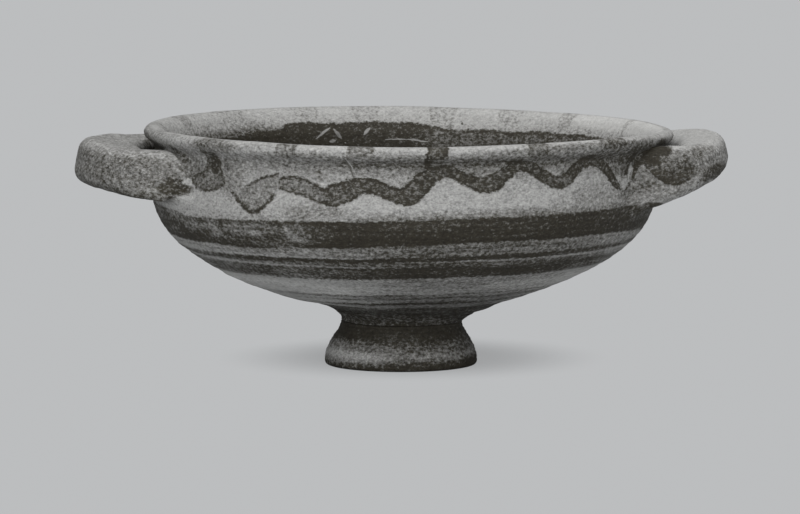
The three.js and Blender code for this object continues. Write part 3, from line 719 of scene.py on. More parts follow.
def painted(degrees, height, row):
    """The paint on the bowl, as depths inside it in mm and strengths, for the brushed slip."""
    turn = np.radians(degrees)
    outer = row <= lip_edge_row
    solid = np.full(len(degrees), -9.0)
    strength = np.full(len(degrees), 0.9)
    thin = np.full(len(degrees), -9.0)
    thinness = np.full(len(degrees), 0.5)
    pooling = np.zeros(len(degrees))

    def lay(depth, amount, field, dark):
        amount[:] = np.where(field > depth, dark, amount)
        depth[:] = np.maximum(depth, field)

    sway = 0.16 * np.sin(3 * turn + 1) + 0.13 * np.sin(7 * turn) + 0.08 * np.sin(15 * turn + 2)
    half_turn = round_from(degrees, 180 * (np.abs(degrees) > 90))
    main_top = np.interp(half_turn, *np.transpose(main_band_top)) + 0.5 * sway - height
    over_main_bottom = height - np.interp(half_turn, *np.transpose(main_band_bottom)) - 0.5 * sway
    dark = 0.97 + 0.14 * smooth(-height, -53, -46) - 0.15 * smooth(np.abs(np.sin(turn)), 0.80, 0.97)
    dark -= soft_spots(degrees, height, worn_places)
    lay(solid, strength, np.where(outer, np.minimum(main_top, over_main_bottom), -9.0), dark)
    smear = np.interp(degrees, *np.transpose(smear_share)) * smooth(main_top, -4.4, 0.2)
    smear *= smooth(-main_top, -4, -2)
    for top, top_tilt, bottom, bottom_tilt, dark in bands:
        under_top = top + top_tilt * np.sin(turn) + sway - height
        over_bottom = height - bottom - bottom_tilt * np.sin(turn) - 0.7 * sway
        field = np.where(outer, np.minimum(under_top, over_bottom), -9.0)
        lay(solid, strength, field, np.interp(np.sin(turn), across_bowl, dark))
    paint_end = np.interp(degrees, *np.transpose(inner_paint_top)) + 0.15 * np.sin(23 * turn)
    inner_paint = np.where(row > inner_edge_row, paint_end - height, -9.0)
    dark = np.interp(degrees, *np.transpose(inner_strength))
    dark = 0.93 + (dark - 0.93) * smooth(height, 52, 66)
    dark += 0.16 * smooth(-inner_paint, -1.6, -0.4) * smooth(degrees, 110, 130)
    lay(solid, strength, inner_paint, dark)

    for side in (0, 180):
        around = round_from(degrees, side)
        fields = [(in_stroke(around, height, route), dark, pooled) for route, dark, pooled in strokes]
        fields += [(in_patch(around, height, corners), dark, pooled) for corners, dark, pooled in patches]
        for field, dark, pooled in fields:
            field = np.where(outer, field, -9.0)
            pooling = np.where(field > thin, pooled, pooling)
            lay(thin, thinness, field, dark)
    to_arc = math.radians(1) * lip_radius / mm
    over_lip = np.minimum(row - lip_edge_row + 4, inner_edge_row + 9 - row) * 0.7
    widening = 1 - 0.3 * smooth(row, crown_row, inner_edge_row + 8)
    for centre, wide, dark in lip_bars:
        across = (wide / 2 * widening - np.abs(round_from(degrees, centre))) * to_arc
        field = np.where(row > lip_edge_row - 5, np.minimum(across, over_lip), -9.0)
        pooling = np.where(field > thin, 0.09, pooling)
        lay(thin, thinness, field, dark)

    # Painted shade and dirt under the lip.
    gathered_dirt_and_shade = np.interp(height, *np.transpose(under_lip_shade_and_dirt)) * np.interp(degrees, *np.transpose(under_lip_shade_share))
    wash = np.maximum(np.maximum(soft_spots(degrees, height, slip_washes_and_shade), gathered_dirt_and_shade), smear)
    wash = np.where(row < crown_row - 1, wash, -0.1)
    # Painted shade: the inside of the lip at the left back made darker, as a speckled wash, where the light falls
    # less.
    left_back_shade = smooth(-np.abs(degrees + 123), -28, -12)
    over_paint = smooth(inner_paint, -3.4, 0.0) * (0.16 + 0.38 * left_back_shade + 0.10 * smooth(np.sin(turn), 0.3, 0.6))
    wash = np.where(row > inner_edge_row, 0.02 + 0.22 * left_back_shade + over_paint, wash)
    for low, high, shares in reserves:
        between = smooth(-np.abs(height - (low + high) / 2), -(high - low) / 2 - 0.5, -(high - low) / 2 + 0.5)
        dark = between * np.interp(np.sin(turn), across_bowl, shares)
        wash = np.maximum(wash, np.where(outer, dark, -0.2))
    bare = np.where(outer, soft_spots(degrees, height, bare_places), 0.0)
    wash = wash - bare
    thin = thin - 9 * bare
    rubbed = np.where(outer, soft_spots(degrees, height, rubbed_places), 0.0)
    streaks = np.where(row < lip_edge_row - 10, 0.08 + 0.6 * smooth(-height, -55, -52), 0.0)
    inner = row > crown_row
    # Wiped lip skin, and the painted highlight inside the lip at the right.
    wiped_and_lit = np.interp(degrees, *np.transpose(wiped_lip)) * smooth(row, lip_edge_row, lip_edge_row + 4)
    wiped_and_lit = np.maximum(wiped_and_lit, inner * soft_spots(degrees, height, painted_highlight_places))
    # Painted light on the underside and under the left handle's root.
    pale = outer * soft_spots(degrees, height, painted_light_places)
    return {"solid": solid, "strength": strength, "thin": thin, "thinness": thinness, "pooling": pooling,
            "wash": wash, "rubbed": rubbed, "streaks": streaks, "clean": wiped_and_lit, "pale": pale}


def hairline_group():
    """A scratch or crack between two places, (degrees, height), that wavers and fades at its ends."""
    tree, given, result = new_tree(
        "hairline",
        "ShaderNodeTree",
        [
            ("Start Degrees", "NodeSocketFloat", 0.0),
            ("Start Height", "NodeSocketFloat", 60.0),
            ("End Degrees", "NodeSocketFloat", 5.0),
            ("End Height", "NodeSocketFloat", 62.0),
            ("Half Width", "NodeSocketFloat", 0.3),
            ("Inside", "NodeSocketFloat", 0.0),
            ("Strength", "NodeSocketFloat", 1.0),
        ],
        [("Mark", "NodeSocketFloat")],
    )
    place = add(tree, "ShaderNodeTexCoord", output="Object")
    split = tree.nodes.new("ShaderNodeSeparateXYZ")
    join(tree, place, split.inputs[0])
    x = calc(tree, "SUBTRACT", split.outputs["X"], bowl_shift * mm)
    y = split.outputs["Y"]
    degrees = calc(tree, "DEGREES", calc(tree, "ARCTAN2", x, calc(tree, "MULTIPLY", y, -1)))
    span = wall_radius / mm * math.radians(1)
    waver = calc(tree, "MULTIPLY", noise(tree, place, 160, 3, 0.6), 2.2)

    def arc_from_start(value):
        away = calc(tree, "SUBTRACT", value, given["Start Degrees"])
        away = calc(tree, "WRAP", away, 180, -180)
        return calc(tree, "MULTIPLY", away, span)

    px = arc_from_start(degrees)
    height = calc(tree, "DIVIDE", split.outputs["Z"], mm)
    py = calc(tree, "ADD", calc(tree, "SUBTRACT", height, given["Start Height"]), waver)
    ex = arc_from_start(given["End Degrees"])
    ey = calc(tree, "SUBTRACT", given["End Height"], given["Start Height"])
    length = calc(tree, "ADD", calc(tree, "MULTIPLY", ex, ex), calc(tree, "MULTIPLY", ey, ey))
    along = calc(tree, "ADD", calc(tree, "MULTIPLY", px, ex), calc(tree, "MULTIPLY", py, ey))
    along = add(tree, "ShaderNodeClamp", {0: calc(tree, "DIVIDE", along, length)})
    dx = calc(tree, "SUBTRACT", px, calc(tree, "MULTIPLY", ex, along))
    dy = calc(tree, "SUBTRACT", py, calc(tree, "MULTIPLY", ey, along))
    off = calc(tree, "SQRT", calc(tree, "ADD", calc(tree, "MULTIPLY", dx, dx), calc(tree, "MULTIPLY", dy, dy)))
    middle = calc(tree, "MULTIPLY", calc(tree, "SUBTRACT", 1, along), calc(tree, "MULTIPLY", along, 4))
    width = calc(tree, "MULTIPLY", given["Half Width"], calc(tree, "MULTIPLY_ADD", middle, 0.7, 0.3))
    mark = ramp(tree, calc(tree, "DIVIDE", off, width), 0.6, 1.4, 1, 0)
    radius = calc(tree, "SQRT", calc(tree, "ADD", calc(tree, "MULTIPLY", x, x), calc(tree, "MULTIPLY", y, y)))
    within = calc(tree, "LESS_THAN", radius, (inner_radius + wall_radius) / 2)
    side = calc(tree, "COMPARE", within, given["Inside"], 0.5)
    mark = calc(tree, "MULTIPLY", calc(tree, "MULTIPLY", mark, side), given["Strength"])
    join(tree, mark, result["Mark"])
    return tree


hairline = hairline_group()


def line_mark(start, end, half_width, inside_bowl, strength, lighter):
    values = {
        "Start Degrees": start[0], "Start Height": start[1], "End Degrees": end[0], "End Height": end[1],
        "Half Width": half_width, "Inside": inside_bowl, "Strength": strength,
    }
    return hairline, values, lighter


bowl_marks = [
    line_mark((-12.7, 73.2), (-10.6, 66.0), 0.26, 0.0, 0.85, False),
    line_mark((-13.2, 76.0), (-12.9, 72.0), 0.40, 0.0, 0.8, True),
    line_mark((-12.2, 72.6), (-10.0, 66.4), 0.18, 0.0, 0.7, True),
    line_mark((164.8, 71.7), (165.3, 71.8), 0.5, 1.0, 0.9, False),
    line_mark((-157.2, 67.2), (-161.0, 70.6), 0.40, 1.0, 0.75, True),
    line_mark((-162.0, 70.2), (-164.0, 66.8), 0.55, 1.0, 0.5, True),
    line_mark((-160.8, 66.2), (-162.4, 66.3), 0.5, 1.0, 0.55, True),
    line_mark((-169.9, 68.2), (-171.6, 70.4), 0.48, 1.0, 0.7, True),
    line_mark((-175.4, 66.1), (178.6, 66.8), 0.19, 1.0, 0.75, True),
    line_mark((178.8, 66.8), (173.6, 65.7), 0.22, 1.0, 0.75, True),
    line_mark((115.5, 72.0), (116.5, 75.0), 0.35, 1.0, 0.6, False),
]
bowl_fields = ("Solid", "Strength", "Thin", "Thinness", "Pooling", "Wash", "Rubbed", "Streaks", "Clean",
                "Pale")
bowl_material = clay("bowl_clay", pitting=0.35, fields=bowl_fields, marks=bowl_marks)
bowl = thrown("bowl_thrown", outside + inside, bowl_stiff, {
    "Around": 480,
    "Ring Depth": 0.09 * mm,
    "Ring Pitch": 3.1 * mm,
    "Unevenness": 0.5 * mm,
    "Lump Size": 18 * mm,
    "Seed": 8.0,
    "Material": bowl_material,
})
bowl_spots = spots(bowl.data)
bowl_row = np.empty(len(bowl_spots), np.float32)
bowl.data.attributes["row"].data.foreach_get("value", bowl_row)
bowl_degrees = np.degrees(np.arctan2(bowl_spots[:, 0], -bowl_spots[:, 1]))
note(bowl.data, **painted(bowl_degrees, bowl_spots[:, 2], bowl_row))
move_to(bowl.data, settle(bowl_spots))
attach(bowl, "root")
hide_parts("bowl")

# Fillet of clay round the neck
# A coil pressed with a finger into the corner between the foot and the bowl, so its face is hollow.
# It went on before the painting, and the foot's dark slip covers it.
fillet_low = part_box("foot_luting_ring")[0].z
fillet_inner = 17.1 * mm
fillet_outline = [(fillet_inner, fillet_low), (neck_radius - 0.05 * mm, fillet_low - 0.25 * mm)]
fillet_outline += bezier(
    (neck_radius - 0.05 * mm, fillet_low - 0.25 * mm), (neck_radius + 0.5 * mm, fillet_low + 1.35 * mm),
    (neck_radius + 2.6 * mm, fillet_low + 2.5 * mm), (24.6 * mm, fillet_low + 3.62 * mm), 18)
fillet_outline += [(22.5 * mm, fillet_low + 3.0 * mm), (fillet_inner, fillet_low + 1.3 * mm),
                   (fillet_inner, fillet_low)]
fillet = thrown("neck_fillet", fillet_outline, lambda r, z: 0.0 if r > neck_radius + 0.3 * mm else 1.0, {
    "Around": 300,
    "Ring Depth": 0.05 * mm,
    "Ring Pitch": 1.4 * mm,
    "Unevenness": 0.3 * mm,
    "Lump Size": 7 * mm,
    "Seed": 5.0,
    "Material": clay("fillet_clay", pitting=0.5, fixed={"Wash": 0.82, "Streaks": 0.4}),
})
fillet_spots = spots(fillet.data)
x, y, z = fillet_spots.T
pressed_in = (neck_press + 0.6 * smooth(z, 13.9, 15.5)) * smooth(-x, 8, 16) * (1 - smooth(np.hypot(x, y), 23, 27))
pressed_in += 0.6 * smooth(x, 8, 18) * smooth(z, 13.9, 15.5) * (1 - smooth(np.hypot(x, y), 22, 25))
move_to(fillet.data, settle(fillet_spots) + np.column_stack([pressed_in - bowl_shift, 0 * y, 0 * z]))
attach(fillet, "root")
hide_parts("foot_luting_ring")

# Handles
# Two thick rolls of clay, bent to half an oval and pressed on level under the lip. They were never
# turned, so they are lumpy, and their skin has weathered to a rough, pitted and blotched surface.
handles = {
    "left": {"side": -1, "rise_start": 42, "gap": 8.4, "height": 13.7, "thickness": 16.4, "corner": 4.4, "half_span": 36,
             "lip_gap": 1.3, "tilt": 7.9, "skew": -1.2, "back_rise": 2.4, "front_rise": 1.7,
             "front_sole": 5.4, "end_fill": 3.6},
    "right": {"side": 1, "rise_start": 26, "gap": 7.35, "height": 12.8, "thickness": 14.0, "corner": 4.8, "half_span": 31,
              "lip_gap": 1.5, "tilt": 18, "skew": 3.6, "back_rise": 0.8, "front_rise": 5.8,
              "front_sole": 0.0, "end_fill": 2.2},
}
run_on = 105
# Degrees round the oval up to which the roll gets thicker toward its ends, and between which the
# underside of its end goes up into the wall.
rise_end = 84
sole_start = 84
sole_end = 104


def roll_tree():
    """Rolls a section along half an oval, thickest at its ends, pits it, and cuts it off at the wall."""
    tree, given, result = new_tree(
        "rolled_and_bent",
        "GeometryNodeTree",
        [
            ("Geometry", "NodeSocketGeometry", None),
            ("Reach", "NodeSocketFloat", 0.02),
            ("Half Span", "NodeSocketFloat", 0.03),
            ("Run On", "NodeSocketFloat", math.radians(run_on)),
            ("Height", "NodeSocketFloat", 0.014),
            ("Thickness", "NodeSocketFloat", 0.014),
            ("Corner", "NodeSocketFloat", 0.005),
            ("Rise Start", "NodeSocketFloat", 0.7),
            ("Back Rise", "NodeSocketFloat", 0.003),
            ("Front Rise", "NodeSocketFloat", 0.003),
            ("Back Sole", "NodeSocketFloat", 0.0),
            ("Front Sole", "NodeSocketFloat", 0.0),
            ("End Fill", "NodeSocketFloat", 0.003),
            ("Lumps", "NodeSocketFloat", 0.0008),
            ("Pits", "NodeSocketFloat", 0.0003),
            ("Seed", "NodeSocketFloat", 0.0),
            ("Turn", "NodeSocketVector", (0.0, 0.0, 0.0)),
            ("Place", "NodeSocketVector", (0.0, 0.0, 0.0)),
            ("Wall", "NodeSocketObject", None),
            ("Material", "NodeSocketMaterial", None),
        ],
        [("Geometry", "NodeSocketGeometry")],
    )
    line = add(tree, "GeometryNodeCurvePrimitiveLine", {"End": (0.0, 0.1, 0.0)})
    line = add(tree, "GeometryNodeResampleCurve", {"Curve": line, "Count": 220})
    factor = add(tree, "GeometryNodeSplineParameter", output="Factor")
    angle = calc(tree, "MULTIPLY", calc(tree, "MULTIPLY_ADD", factor, 2, -1), given["Run On"])
    x = calc(tree, "MULTIPLY", calc(tree, "COSINE", angle), given["Reach"])
    y = calc(tree, "MULTIPLY", calc(tree, "SINE", angle), given["Half Span"])
    oval = add(tree, "ShaderNodeCombineXYZ", {"X": x, "Y": y})
    line = add(tree, "GeometryNodeSetPosition", {"Geometry": line, "Position": oval})
    line = add(tree, "GeometryNodeSetCurveNormal", {"Curve": line}, mode="Z_UP")
    section = add(tree, "GeometryNodeCurvePrimitiveQuadrilateral",
                  {"Width": given["Thickness"], "Height": given["Height"]})
    section = add(tree, "GeometryNodeFilletCurve", {"Curve": section, "Radius": given["Corner"], "Count": 8},
                  mode="POLY")
    section = add(tree, "GeometryNodeResampleCurve", {"Curve": section, "Count": 112})
    roll = add(tree, "GeometryNodeCurveToMesh", {"Curve": line, "Profile Curve": section, "Fill Caps": True})
    here = add(tree, "GeometryNodeInputPosition")
    part = tree.nodes.new("ShaderNodeSeparateXYZ")
    join(tree, here, part.inputs[0])
    sideways = calc(tree, "ABSOLUTE", calc(tree, "DIVIDE", part.outputs["Y"], given["Half Span"]))
    turned = calc(tree, "ARCTAN2", sideways, calc(tree, "DIVIDE", part.outputs["X"], given["Reach"]))
    upper = ramp(tree, calc(tree, "DIVIDE", part.outputs["Z"], given["Height"]), -0.5, 0.5)
    to_root = calc(tree, "DIVIDE", calc(tree, "SUBTRACT", turned, given["Rise Start"]),
                   calc(tree, "SUBTRACT", math.radians(rise_end), given["Rise Start"]))
    to_root = ramp(tree, to_root, 0, 1)
    to_wall = ramp(tree, turned, math.radians(sole_start), math.radians(sole_end))
    at_front = ramp(tree, calc(tree, "DIVIDE", part.outputs["Y"], given["Half Span"]), -0.3, 0.3, 1, 0)

    def between(back, front):
        return calc(tree, "MULTIPLY_ADD", calc(tree, "SUBTRACT", front, back), at_front, back)

    top_rise = calc(tree, "MULTIPLY", between(given["Back Rise"], given["Front Rise"]), upper)
    top_rise = calc(tree, "MULTIPLY", top_rise, to_root)
    lower = calc(tree, "MULTIPLY", calc(tree, "SUBTRACT", 1, upper), to_wall)
    rise = calc(tree, "MULTIPLY_ADD", between(given["Back Sole"], given["Front Sole"]), lower, top_rise)
    across = calc(tree, "DIVIDE", part.outputs["X"], given["Reach"])
    out = calc(tree, "SQRT", calc(tree, "ADD", calc(tree, "MULTIPLY", across, across),
                                  calc(tree, "MULTIPLY", sideways, sideways)))
    inner_side = ramp(tree, out, 0.8, 1.15, 1, 0)
    fill = calc(tree, "MULTIPLY", inner_side, ramp(tree, turned, math.radians(20), math.radians(70), 1, 0))
    fill = calc(tree, "MULTIPLY", calc(tree, "MULTIPLY", fill, given["End Fill"]), -1)
    rise = add(tree, "ShaderNodeCombineXYZ", {"X": fill, "Z": rise})
    roll = add(tree, "GeometryNodeSetPosition", {"Geometry": roll, "Offset": rise})
    lumps = calc(tree, "MULTIPLY", noise(tree, here, 75, 2, 0.5, given["Seed"]), given["Lumps"])
    rough = noise(tree, here, 420, 3, 0.6, given["Seed"])
    pits = ramp(tree, noise(tree, here, 520, 2, 0.5, given["Seed"]), 0.06, 0.26)
    pits = calc(tree, "MULTIPLY", pits, ramp(tree, noise(tree, here, 110, 2, 0.5, given["Seed"]), -0.1, 0.1))
    rough = calc(tree, "SUBTRACT", calc(tree, "MULTIPLY", rough, 0.6), pits)
    push = calc(tree, "MULTIPLY_ADD", rough, given["Pits"], lumps)
    normal = add(tree, "GeometryNodeInputNormal")
    offset = add(tree, "ShaderNodeVectorMath", {0: normal, "Scale": push}, operation="SCALE")
    roll = add(tree, "GeometryNodeSetPosition", {"Geometry": roll, "Offset": offset})
    roll = add(tree, "GeometryNodeTransform",
               {"Geometry": roll, "Translation": given["Place"], "Rotation": given["Turn"]})
    wall = add(tree, "GeometryNodeObjectInfo", {"Object": given["Wall"]}, output="Geometry")
    roll = add(tree, "GeometryNodeMeshBoolean", {"Mesh 1": roll, "Mesh 2": wall},
               operation="DIFFERENCE", solver="MANIFOLD")
    roll = add(tree, "GeometryNodeSetShadeSmooth", {"Geometry": roll})
    roll = add(tree, "GeometryNodeRealizeInstances", {"Geometry": roll})
    roll = add(tree, "GeometryNodeSetMaterial", {"Geometry": roll, "Material": given["Material"]})
    join(tree, roll, result["Geometry"])
    return tree


rolled = roll_tree()
joint_gap = 0.3 * mm
wall_outline = [(0, seat - joint_gap)]
wall_outline += [(r + joint_gap, z) for r, z in outside[3:lip_edge_row + 1]]
wall_outline += [(lip_radius + joint_gap, lip_top + 5 * mm), (0, lip_top + 5 * mm)]
wall = thrown("wall_space", wall_outline, lambda r, z: 1.0, {"Around": 360, "Material": bowl_material})

wall_heights = np.array([z for r, z in outside[2:lip_edge_row + 1]]) / mm
wall_radii = np.array([r for r, z in outside[2:lip_edge_row + 1]]) / mm


def off_wall(places):
    """How far places, in millimetres, lie outside the bowl's wall."""
    return np.hypot(places[:, 0], places[:, 1]) - np.interp(places[:, 2], wall_heights, wall_radii)


def root_line(handle):
    return math.sqrt((wall_radius / mm) ** 2 - handle["half_span"] ** 2)


def reach_of(handle):
    middle = wall_radius / mm + handle["gap"] + handle["thickness"] / 2
    return (middle - root_line(handle)) / math.cos(math.radians(handle["tilt"]))


def turn_of(handle):
    """The turn that takes a loop, made level and pointing along X, to its place."""
    turn = Matrix.Rotation(math.radians(handle["skew"]) * handle["side"], 3, "X")
    turn = turn @ Matrix.Rotation(-math.radians(handle["tilt"]), 3, "Y")
    if handle["side"] < 0:
        turn = Matrix.Rotation(math.pi, 3, "Z") @ turn
    return turn


def place_of(handle):
    height = lip_foot / mm - handle["lip_gap"] - handle["height"] / 2
    return np.array([handle["side"] * root_line(handle), 0, height])


def soft_balls(places, balls):
    """The strongest of some soft dark places, each (x, y, z), reach along each, and strength."""
    total = np.zeros(len(places))
    for centre, reach, strength in balls:
        away = np.linalg.norm((places - centre) / reach, axis=1)
        total = np.maximum(total, strength * smooth(-away, -1.0, -0.45))
    return total


# Soft dark places on the arms, slip and painted shade in the loops' hollows, under the lip and under the arms:
# centre, reach along X, Y and Z in mm, and strength.
arm_washes_and_shade = {
    "left": [
        ((-70.8, -45, 59.9), (8.4, 12, 3.2), 0.94),
        ((-75.5, -43, 58.6), (4, 10, 2.0), 0.6),
        ((-71.5, -45, 62.6), (6, 10, 1.0), 0.95),
        ((-103, -4, 58.8), (7, 24, 12), 0.62),
        ((-92, -38, 56), (30, 30, 3.4), 0.80),
        ((-80, -22, 66), (7, 12, 6), 0.9),
        ((-79, 16, 70), (6, 28, 7), 0.8),
    ],
    "right": [
        ((79.5, -36, 70.4), (8, 10, 6.5), 1.15),
        ((76, -40, 62), (8, 12, 8), 0.60),
        ((78.5, -37, 53.6), (6, 12, 2.4), 0.9),
        ((78, -38, 65.5), (5, 10, 3.5), 0.55),
        ((85, -19, 72.0), (5.5, 13, 2.8), 1.1),
        ((82, -20, 68), (7, 12, 5), 0.9),
        ((98, -14, 62.5), (11, 26, 6.5), 0.84),
        ((94, -24, 68.8), (11, 13, 4.6), 0.58),
    ],
}
# Pale places, the same way.
arm_lights = {
    "left": [((-66.2, -47.5, 62.2), (2.3, 4, 1.5), 1.0)],
    "right": [((85, -36, 68), (6, 12, 3.6), 0.36), ((98, -24, 59.5), (2.4, 9, 2.4), 0.6)],
}
# Lower and upper edge of the dark slip on the front of the right handle's arm, by distance along X.
arm_paint_x = [72, 75, 77, 80, 83, 87, 89, 91, 94, 97]
arm_paint_low = [70, 67.3, 65.4, 62.5, 60.5, 60.2, 60.8, 62.1, 63.8, 66]
arm_paint_high = [77, 76, 75, 74.0, 73.0, 72, 71, 70, 68.6, 67]
# How dark a handle's skin is made on its top, its sides and its underside: slip, and painted shade by which way the
# skin faces.
arm_slip_and_shade = {"left": (0.32, 0.59, 0.84), "right": (-0.08, 0.44, 0.30)}
wall_share_reach = 3.0
paint_reach = 6.0


def turned_up(mesh):
    """How far the skin at each vertex faces up, from -1 to 1."""
    flat = np.empty(len(mesh.vertices) * 3)
    mesh.vertex_normals.foreach_get("vector", flat)
    return flat.reshape(-1, 3)[:, 2]


def arm_fields(name, mesh, places):
    """Paint on an arm: the bowl's own close to the wall, and its weathered skin farther out, with painted shade and
    painted highlights by which way the skin faces.
    """
    facing = turned_up(mesh)
    top, side, under = arm_slip_and_shade[name]
    # Painted shade: the skin darkens by which way it faces.
    skin = side + (top - side) * smooth(facing, 0.35, 0.9) + (under - side) * smooth(-facing, 0.3, 0.9)
    settled = settle(places)
    pale = soft_balls(settled, arm_lights[name])
    degrees = np.degrees(np.arctan2(places[:, 0], -places[:, 1]))
    fields = painted(degrees, places[:, 2], np.zeros(len(degrees)))
    off = off_wall(places)
    share = 1 - smooth(off, 0.5, wall_share_reach)
    fields["solid"] = fields["solid"] - 4 * smooth(off, 2, paint_reach)
    fields["thin"] = fields["thin"] - 5 * smooth(off, 1.5, paint_reach)
    skin = fields["wash"] * share + skin * (1 - share)
    fields["wash"] = np.maximum(skin, soft_balls(settled, arm_washes_and_shade[name])) - pale
    # Painted highlight: the right handle's upward-facing top made paler and smoother.
    fields["clean"] = 0.62 * smooth(facing, 0.5, 0.95) * (name == "right")
    fields["streaks"] = 0.0
    if name == "right":
        x, z = settled[:, 0], settled[:, 2]
        slip = np.minimum(z - np.interp(x, arm_paint_x, arm_paint_low), 97.5 - x)
        slip = np.minimum(slip, -12 - settled[:, 1])
        slip = np.where(slip > fields["thin"], slip, -9)
        fade = smooth(z - np.interp(x, arm_paint_x, arm_paint_high), -5, 1)
        # The slip is made lighter where the arm faces up: a painted highlight.
        dark = 0.84 - 0.50 * pale - 0.5 * smooth(facing, 0.6, 0.95) - 0.34 * fade - 0.3 * smooth(x, 89, 97)
        fields["thinness"] = np.where(slip > -3, dark, fields["thinness"])
        fields["pooling"] = np.where(slip > -3, 0.12, fields["pooling"])
        fields["thin"] = np.maximum(fields["thin"], slip)
    return fields


for name, handle in handles.items():
    material = clay(f"{name}_handle_clay", pitting=1.0, grit=0.8, bump=0.6, fields=bowl_fields,
                    fixed={"Blotches": 0.5, "Speckle": 1.0})
    piece = make_real(linked(f"{name}_handle_rolled", bpy.data.meshes.new("roll")), rolled, {
        "Reach": reach_of(handle) * mm,
        "Half Span": handle["half_span"] * mm,
        "Height": handle["height"] * mm,
        "Thickness": handle["thickness"] * mm,
        "Corner": handle["corner"] * mm,
        "Rise Start": math.radians(handle["rise_start"]),
        "Back Rise": handle["back_rise" if handle["side"] > 0 else "front_rise"] * mm,
        "Front Rise": handle["front_rise" if handle["side"] > 0 else "back_rise"] * mm,
        "Back Sole": 0.0 if handle["side"] > 0 else handle["front_sole"] * mm,
        "Front Sole": handle["front_sole"] * mm if handle["side"] > 0 else 0.0,
        "End Fill": handle["end_fill"] * mm,
        "Lumps": 1.5 * mm,
        "Pits": 0.36 * mm,
        "Seed": 2.0 + handle["side"],
        "Turn": turn_of(handle).to_euler(),
        "Place": Vector(place_of(handle) * mm),
        "Wall": wall,
        "Material": material,
    })
    arm_spots = spots(piece.data)
    note(piece.data, **arm_fields(name, piece.data, arm_spots))
    move_to(piece.data, settle(arm_spots))
    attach(piece, "root")
    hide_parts(f"{name}_handle")

# Clay round the handles' roots
# Soft clay, pressed with the fingers into the corner between each arm and the wall, so that both run
# together. It thins out to nothing on the arm and on the wall.
fillet_ends = {"front": -1, "back": 1}
fillet_steps = 12
ring_points = 120


def section_ring(handle, count):
    """Points evenly spaced round a rounded section, as (outward, upward) in mm."""
    half_out, half_up = handle["thickness"] / 2, handle["height"] / 2
    corner = handle["corner"]
    corners = [(1, 1, 0), (-1, 1, 90), (-1, -1, 180), (1, -1, 270)]
    path = []
    for out, up, start in corners:
        for degrees in range(start, start + 91, 10):
            a = math.radians(degrees)
            path.append((out * (half_out - corner) + corner * math.cos(a),
                         up * (half_up - corner) + corner * math.sin(a)))
    path.append(path[0])
    path = np.array(path)
    length = np.concatenate([[0], np.cumsum(np.hypot(*np.diff(path, axis=0).T))])
    at = np.linspace(0, length[-1], count, endpoint=False)
    return np.column_stack([np.interp(at, length, path[:, 0]), np.interp(at, length, path[:, 1])])


def on_arm(handle, angles, ring):
    """Places on an arm's skin, at angles round its oval, one for each point of the section."""
    reach, span = reach_of(handle), handle["half_span"]
    centre = np.column_stack([reach * np.cos(angles), span * np.sin(angles), 0 * angles])
    outward = np.column_stack([span * np.cos(angles), reach * np.sin(angles), 0 * angles])
    outward /= np.linalg.norm(outward, axis=1)[:, None]
    skin = centre + ring[:, :1] * outward + ring[:, 1:] * np.array([0, 0, 1.0])
    turned = np.degrees(np.arctan2(np.abs(skin[:, 1]) / span, skin[:, 0] / reach))
    upper = smooth(skin[:, 2] / handle["height"], -0.5, 0.5)
    at_front = smooth(-skin[:, 1] * handle["side"] / span, -0.3, 0.3)
    rise = handle["back_rise"] + (handle["front_rise"] - handle["back_rise"]) * at_front
    rise = rise * upper * smooth(turned, handle["rise_start"], rise_end)
    skin[:, 2] += rise + handle["front_sole"] * at_front * (1 - upper) * smooth(turned, sole_start, sole_end)
    return skin @ np.array(turn_of(handle)).T + place_of(handle)


def where_off(handle, end, ring, distance):
    """The places on an arm's skin, near one end, that lie a distance outside the wall."""
    near = np.full(len(ring), math.radians(35.0))
    far = np.full(len(ring), math.radians(float(run_on)))
    for _ in range(30):
        middle = (near + far) / 2
        outside_it = off_wall(on_arm(handle, end * middle, ring)) > distance
        near = np.where(outside_it, middle, near)
        far = np.where(outside_it, far, middle)
    return on_arm(handle, end * near, ring)


def pressed_fillet(handle, end):
    ring = section_ring(handle, ring_points)
    corner = where_off(handle, end, ring, 0.0)
    upward = ring[:, 1] / (handle["height"] / 2)
    arm_reach = 4.6 - 2.6 * smooth(upward, 0.2, 1.0)
    on_the_arm = where_off(handle, end, ring, arm_reach)
    inward = on_the_arm.mean(0) - on_the_arm
    inward /= np.linalg.norm(inward, axis=1)[:, None]
    turns = np.arctan2(corner[:, 1], corner[:, 0])
    chart = np.column_stack([turns * wall_radius / mm, corner[:, 2]])
    along = np.roll(chart, -1, 0) - np.roll(chart, 1, 0)
    away = np.column_stack([along[:, 1], -along[:, 0]])
    away /= np.linalg.norm(away, axis=1)[:, None]
    if ((chart - chart.mean(0)) * away).sum() < 0:
        away = -away
    wall_reach = (4.8 - 3.6 * smooth(upward, 0.1, 0.9)) * (1.4 if end * handle["side"] < 0 else 1.0)
    spread = chart + away * wall_reach[:, None]
    spread[:, 1] = np.minimum(spread[:, 1], lip_edge / mm - 1.6)
    radius = np.interp(spread[:, 1], wall_heights, wall_radii)
    turns = spread[:, 0] / (wall_radius / mm)
    on_the_wall = np.column_stack([radius * np.cos(turns), radius * np.sin(turns), spread[:, 1]])
    centre_line = np.array([1, 1, 0])
    sunk_arm = on_the_arm + 0.2 * inward
    sunk_wall = on_the_wall - 0.2 * on_the_wall * centre_line / radius[:, None]
    sunk_corner = corner + 0.5 * inward - 0.5 * corner * centre_line / np.hypot(*corner[:, :2].T)[:, None]
    rows = []
    for step in range(fillet_steps + 1):
        t = step / fillet_steps
        rows.append((1 - t) ** 2 * sunk_arm + 2 * t * (1 - t) * corner + t * t * sunk_wall)
    rows.append((sunk_wall + sunk_corner) / 2)
    rows.append(sunk_corner)
    rows.append((sunk_corner + sunk_arm) / 2)
    return rows


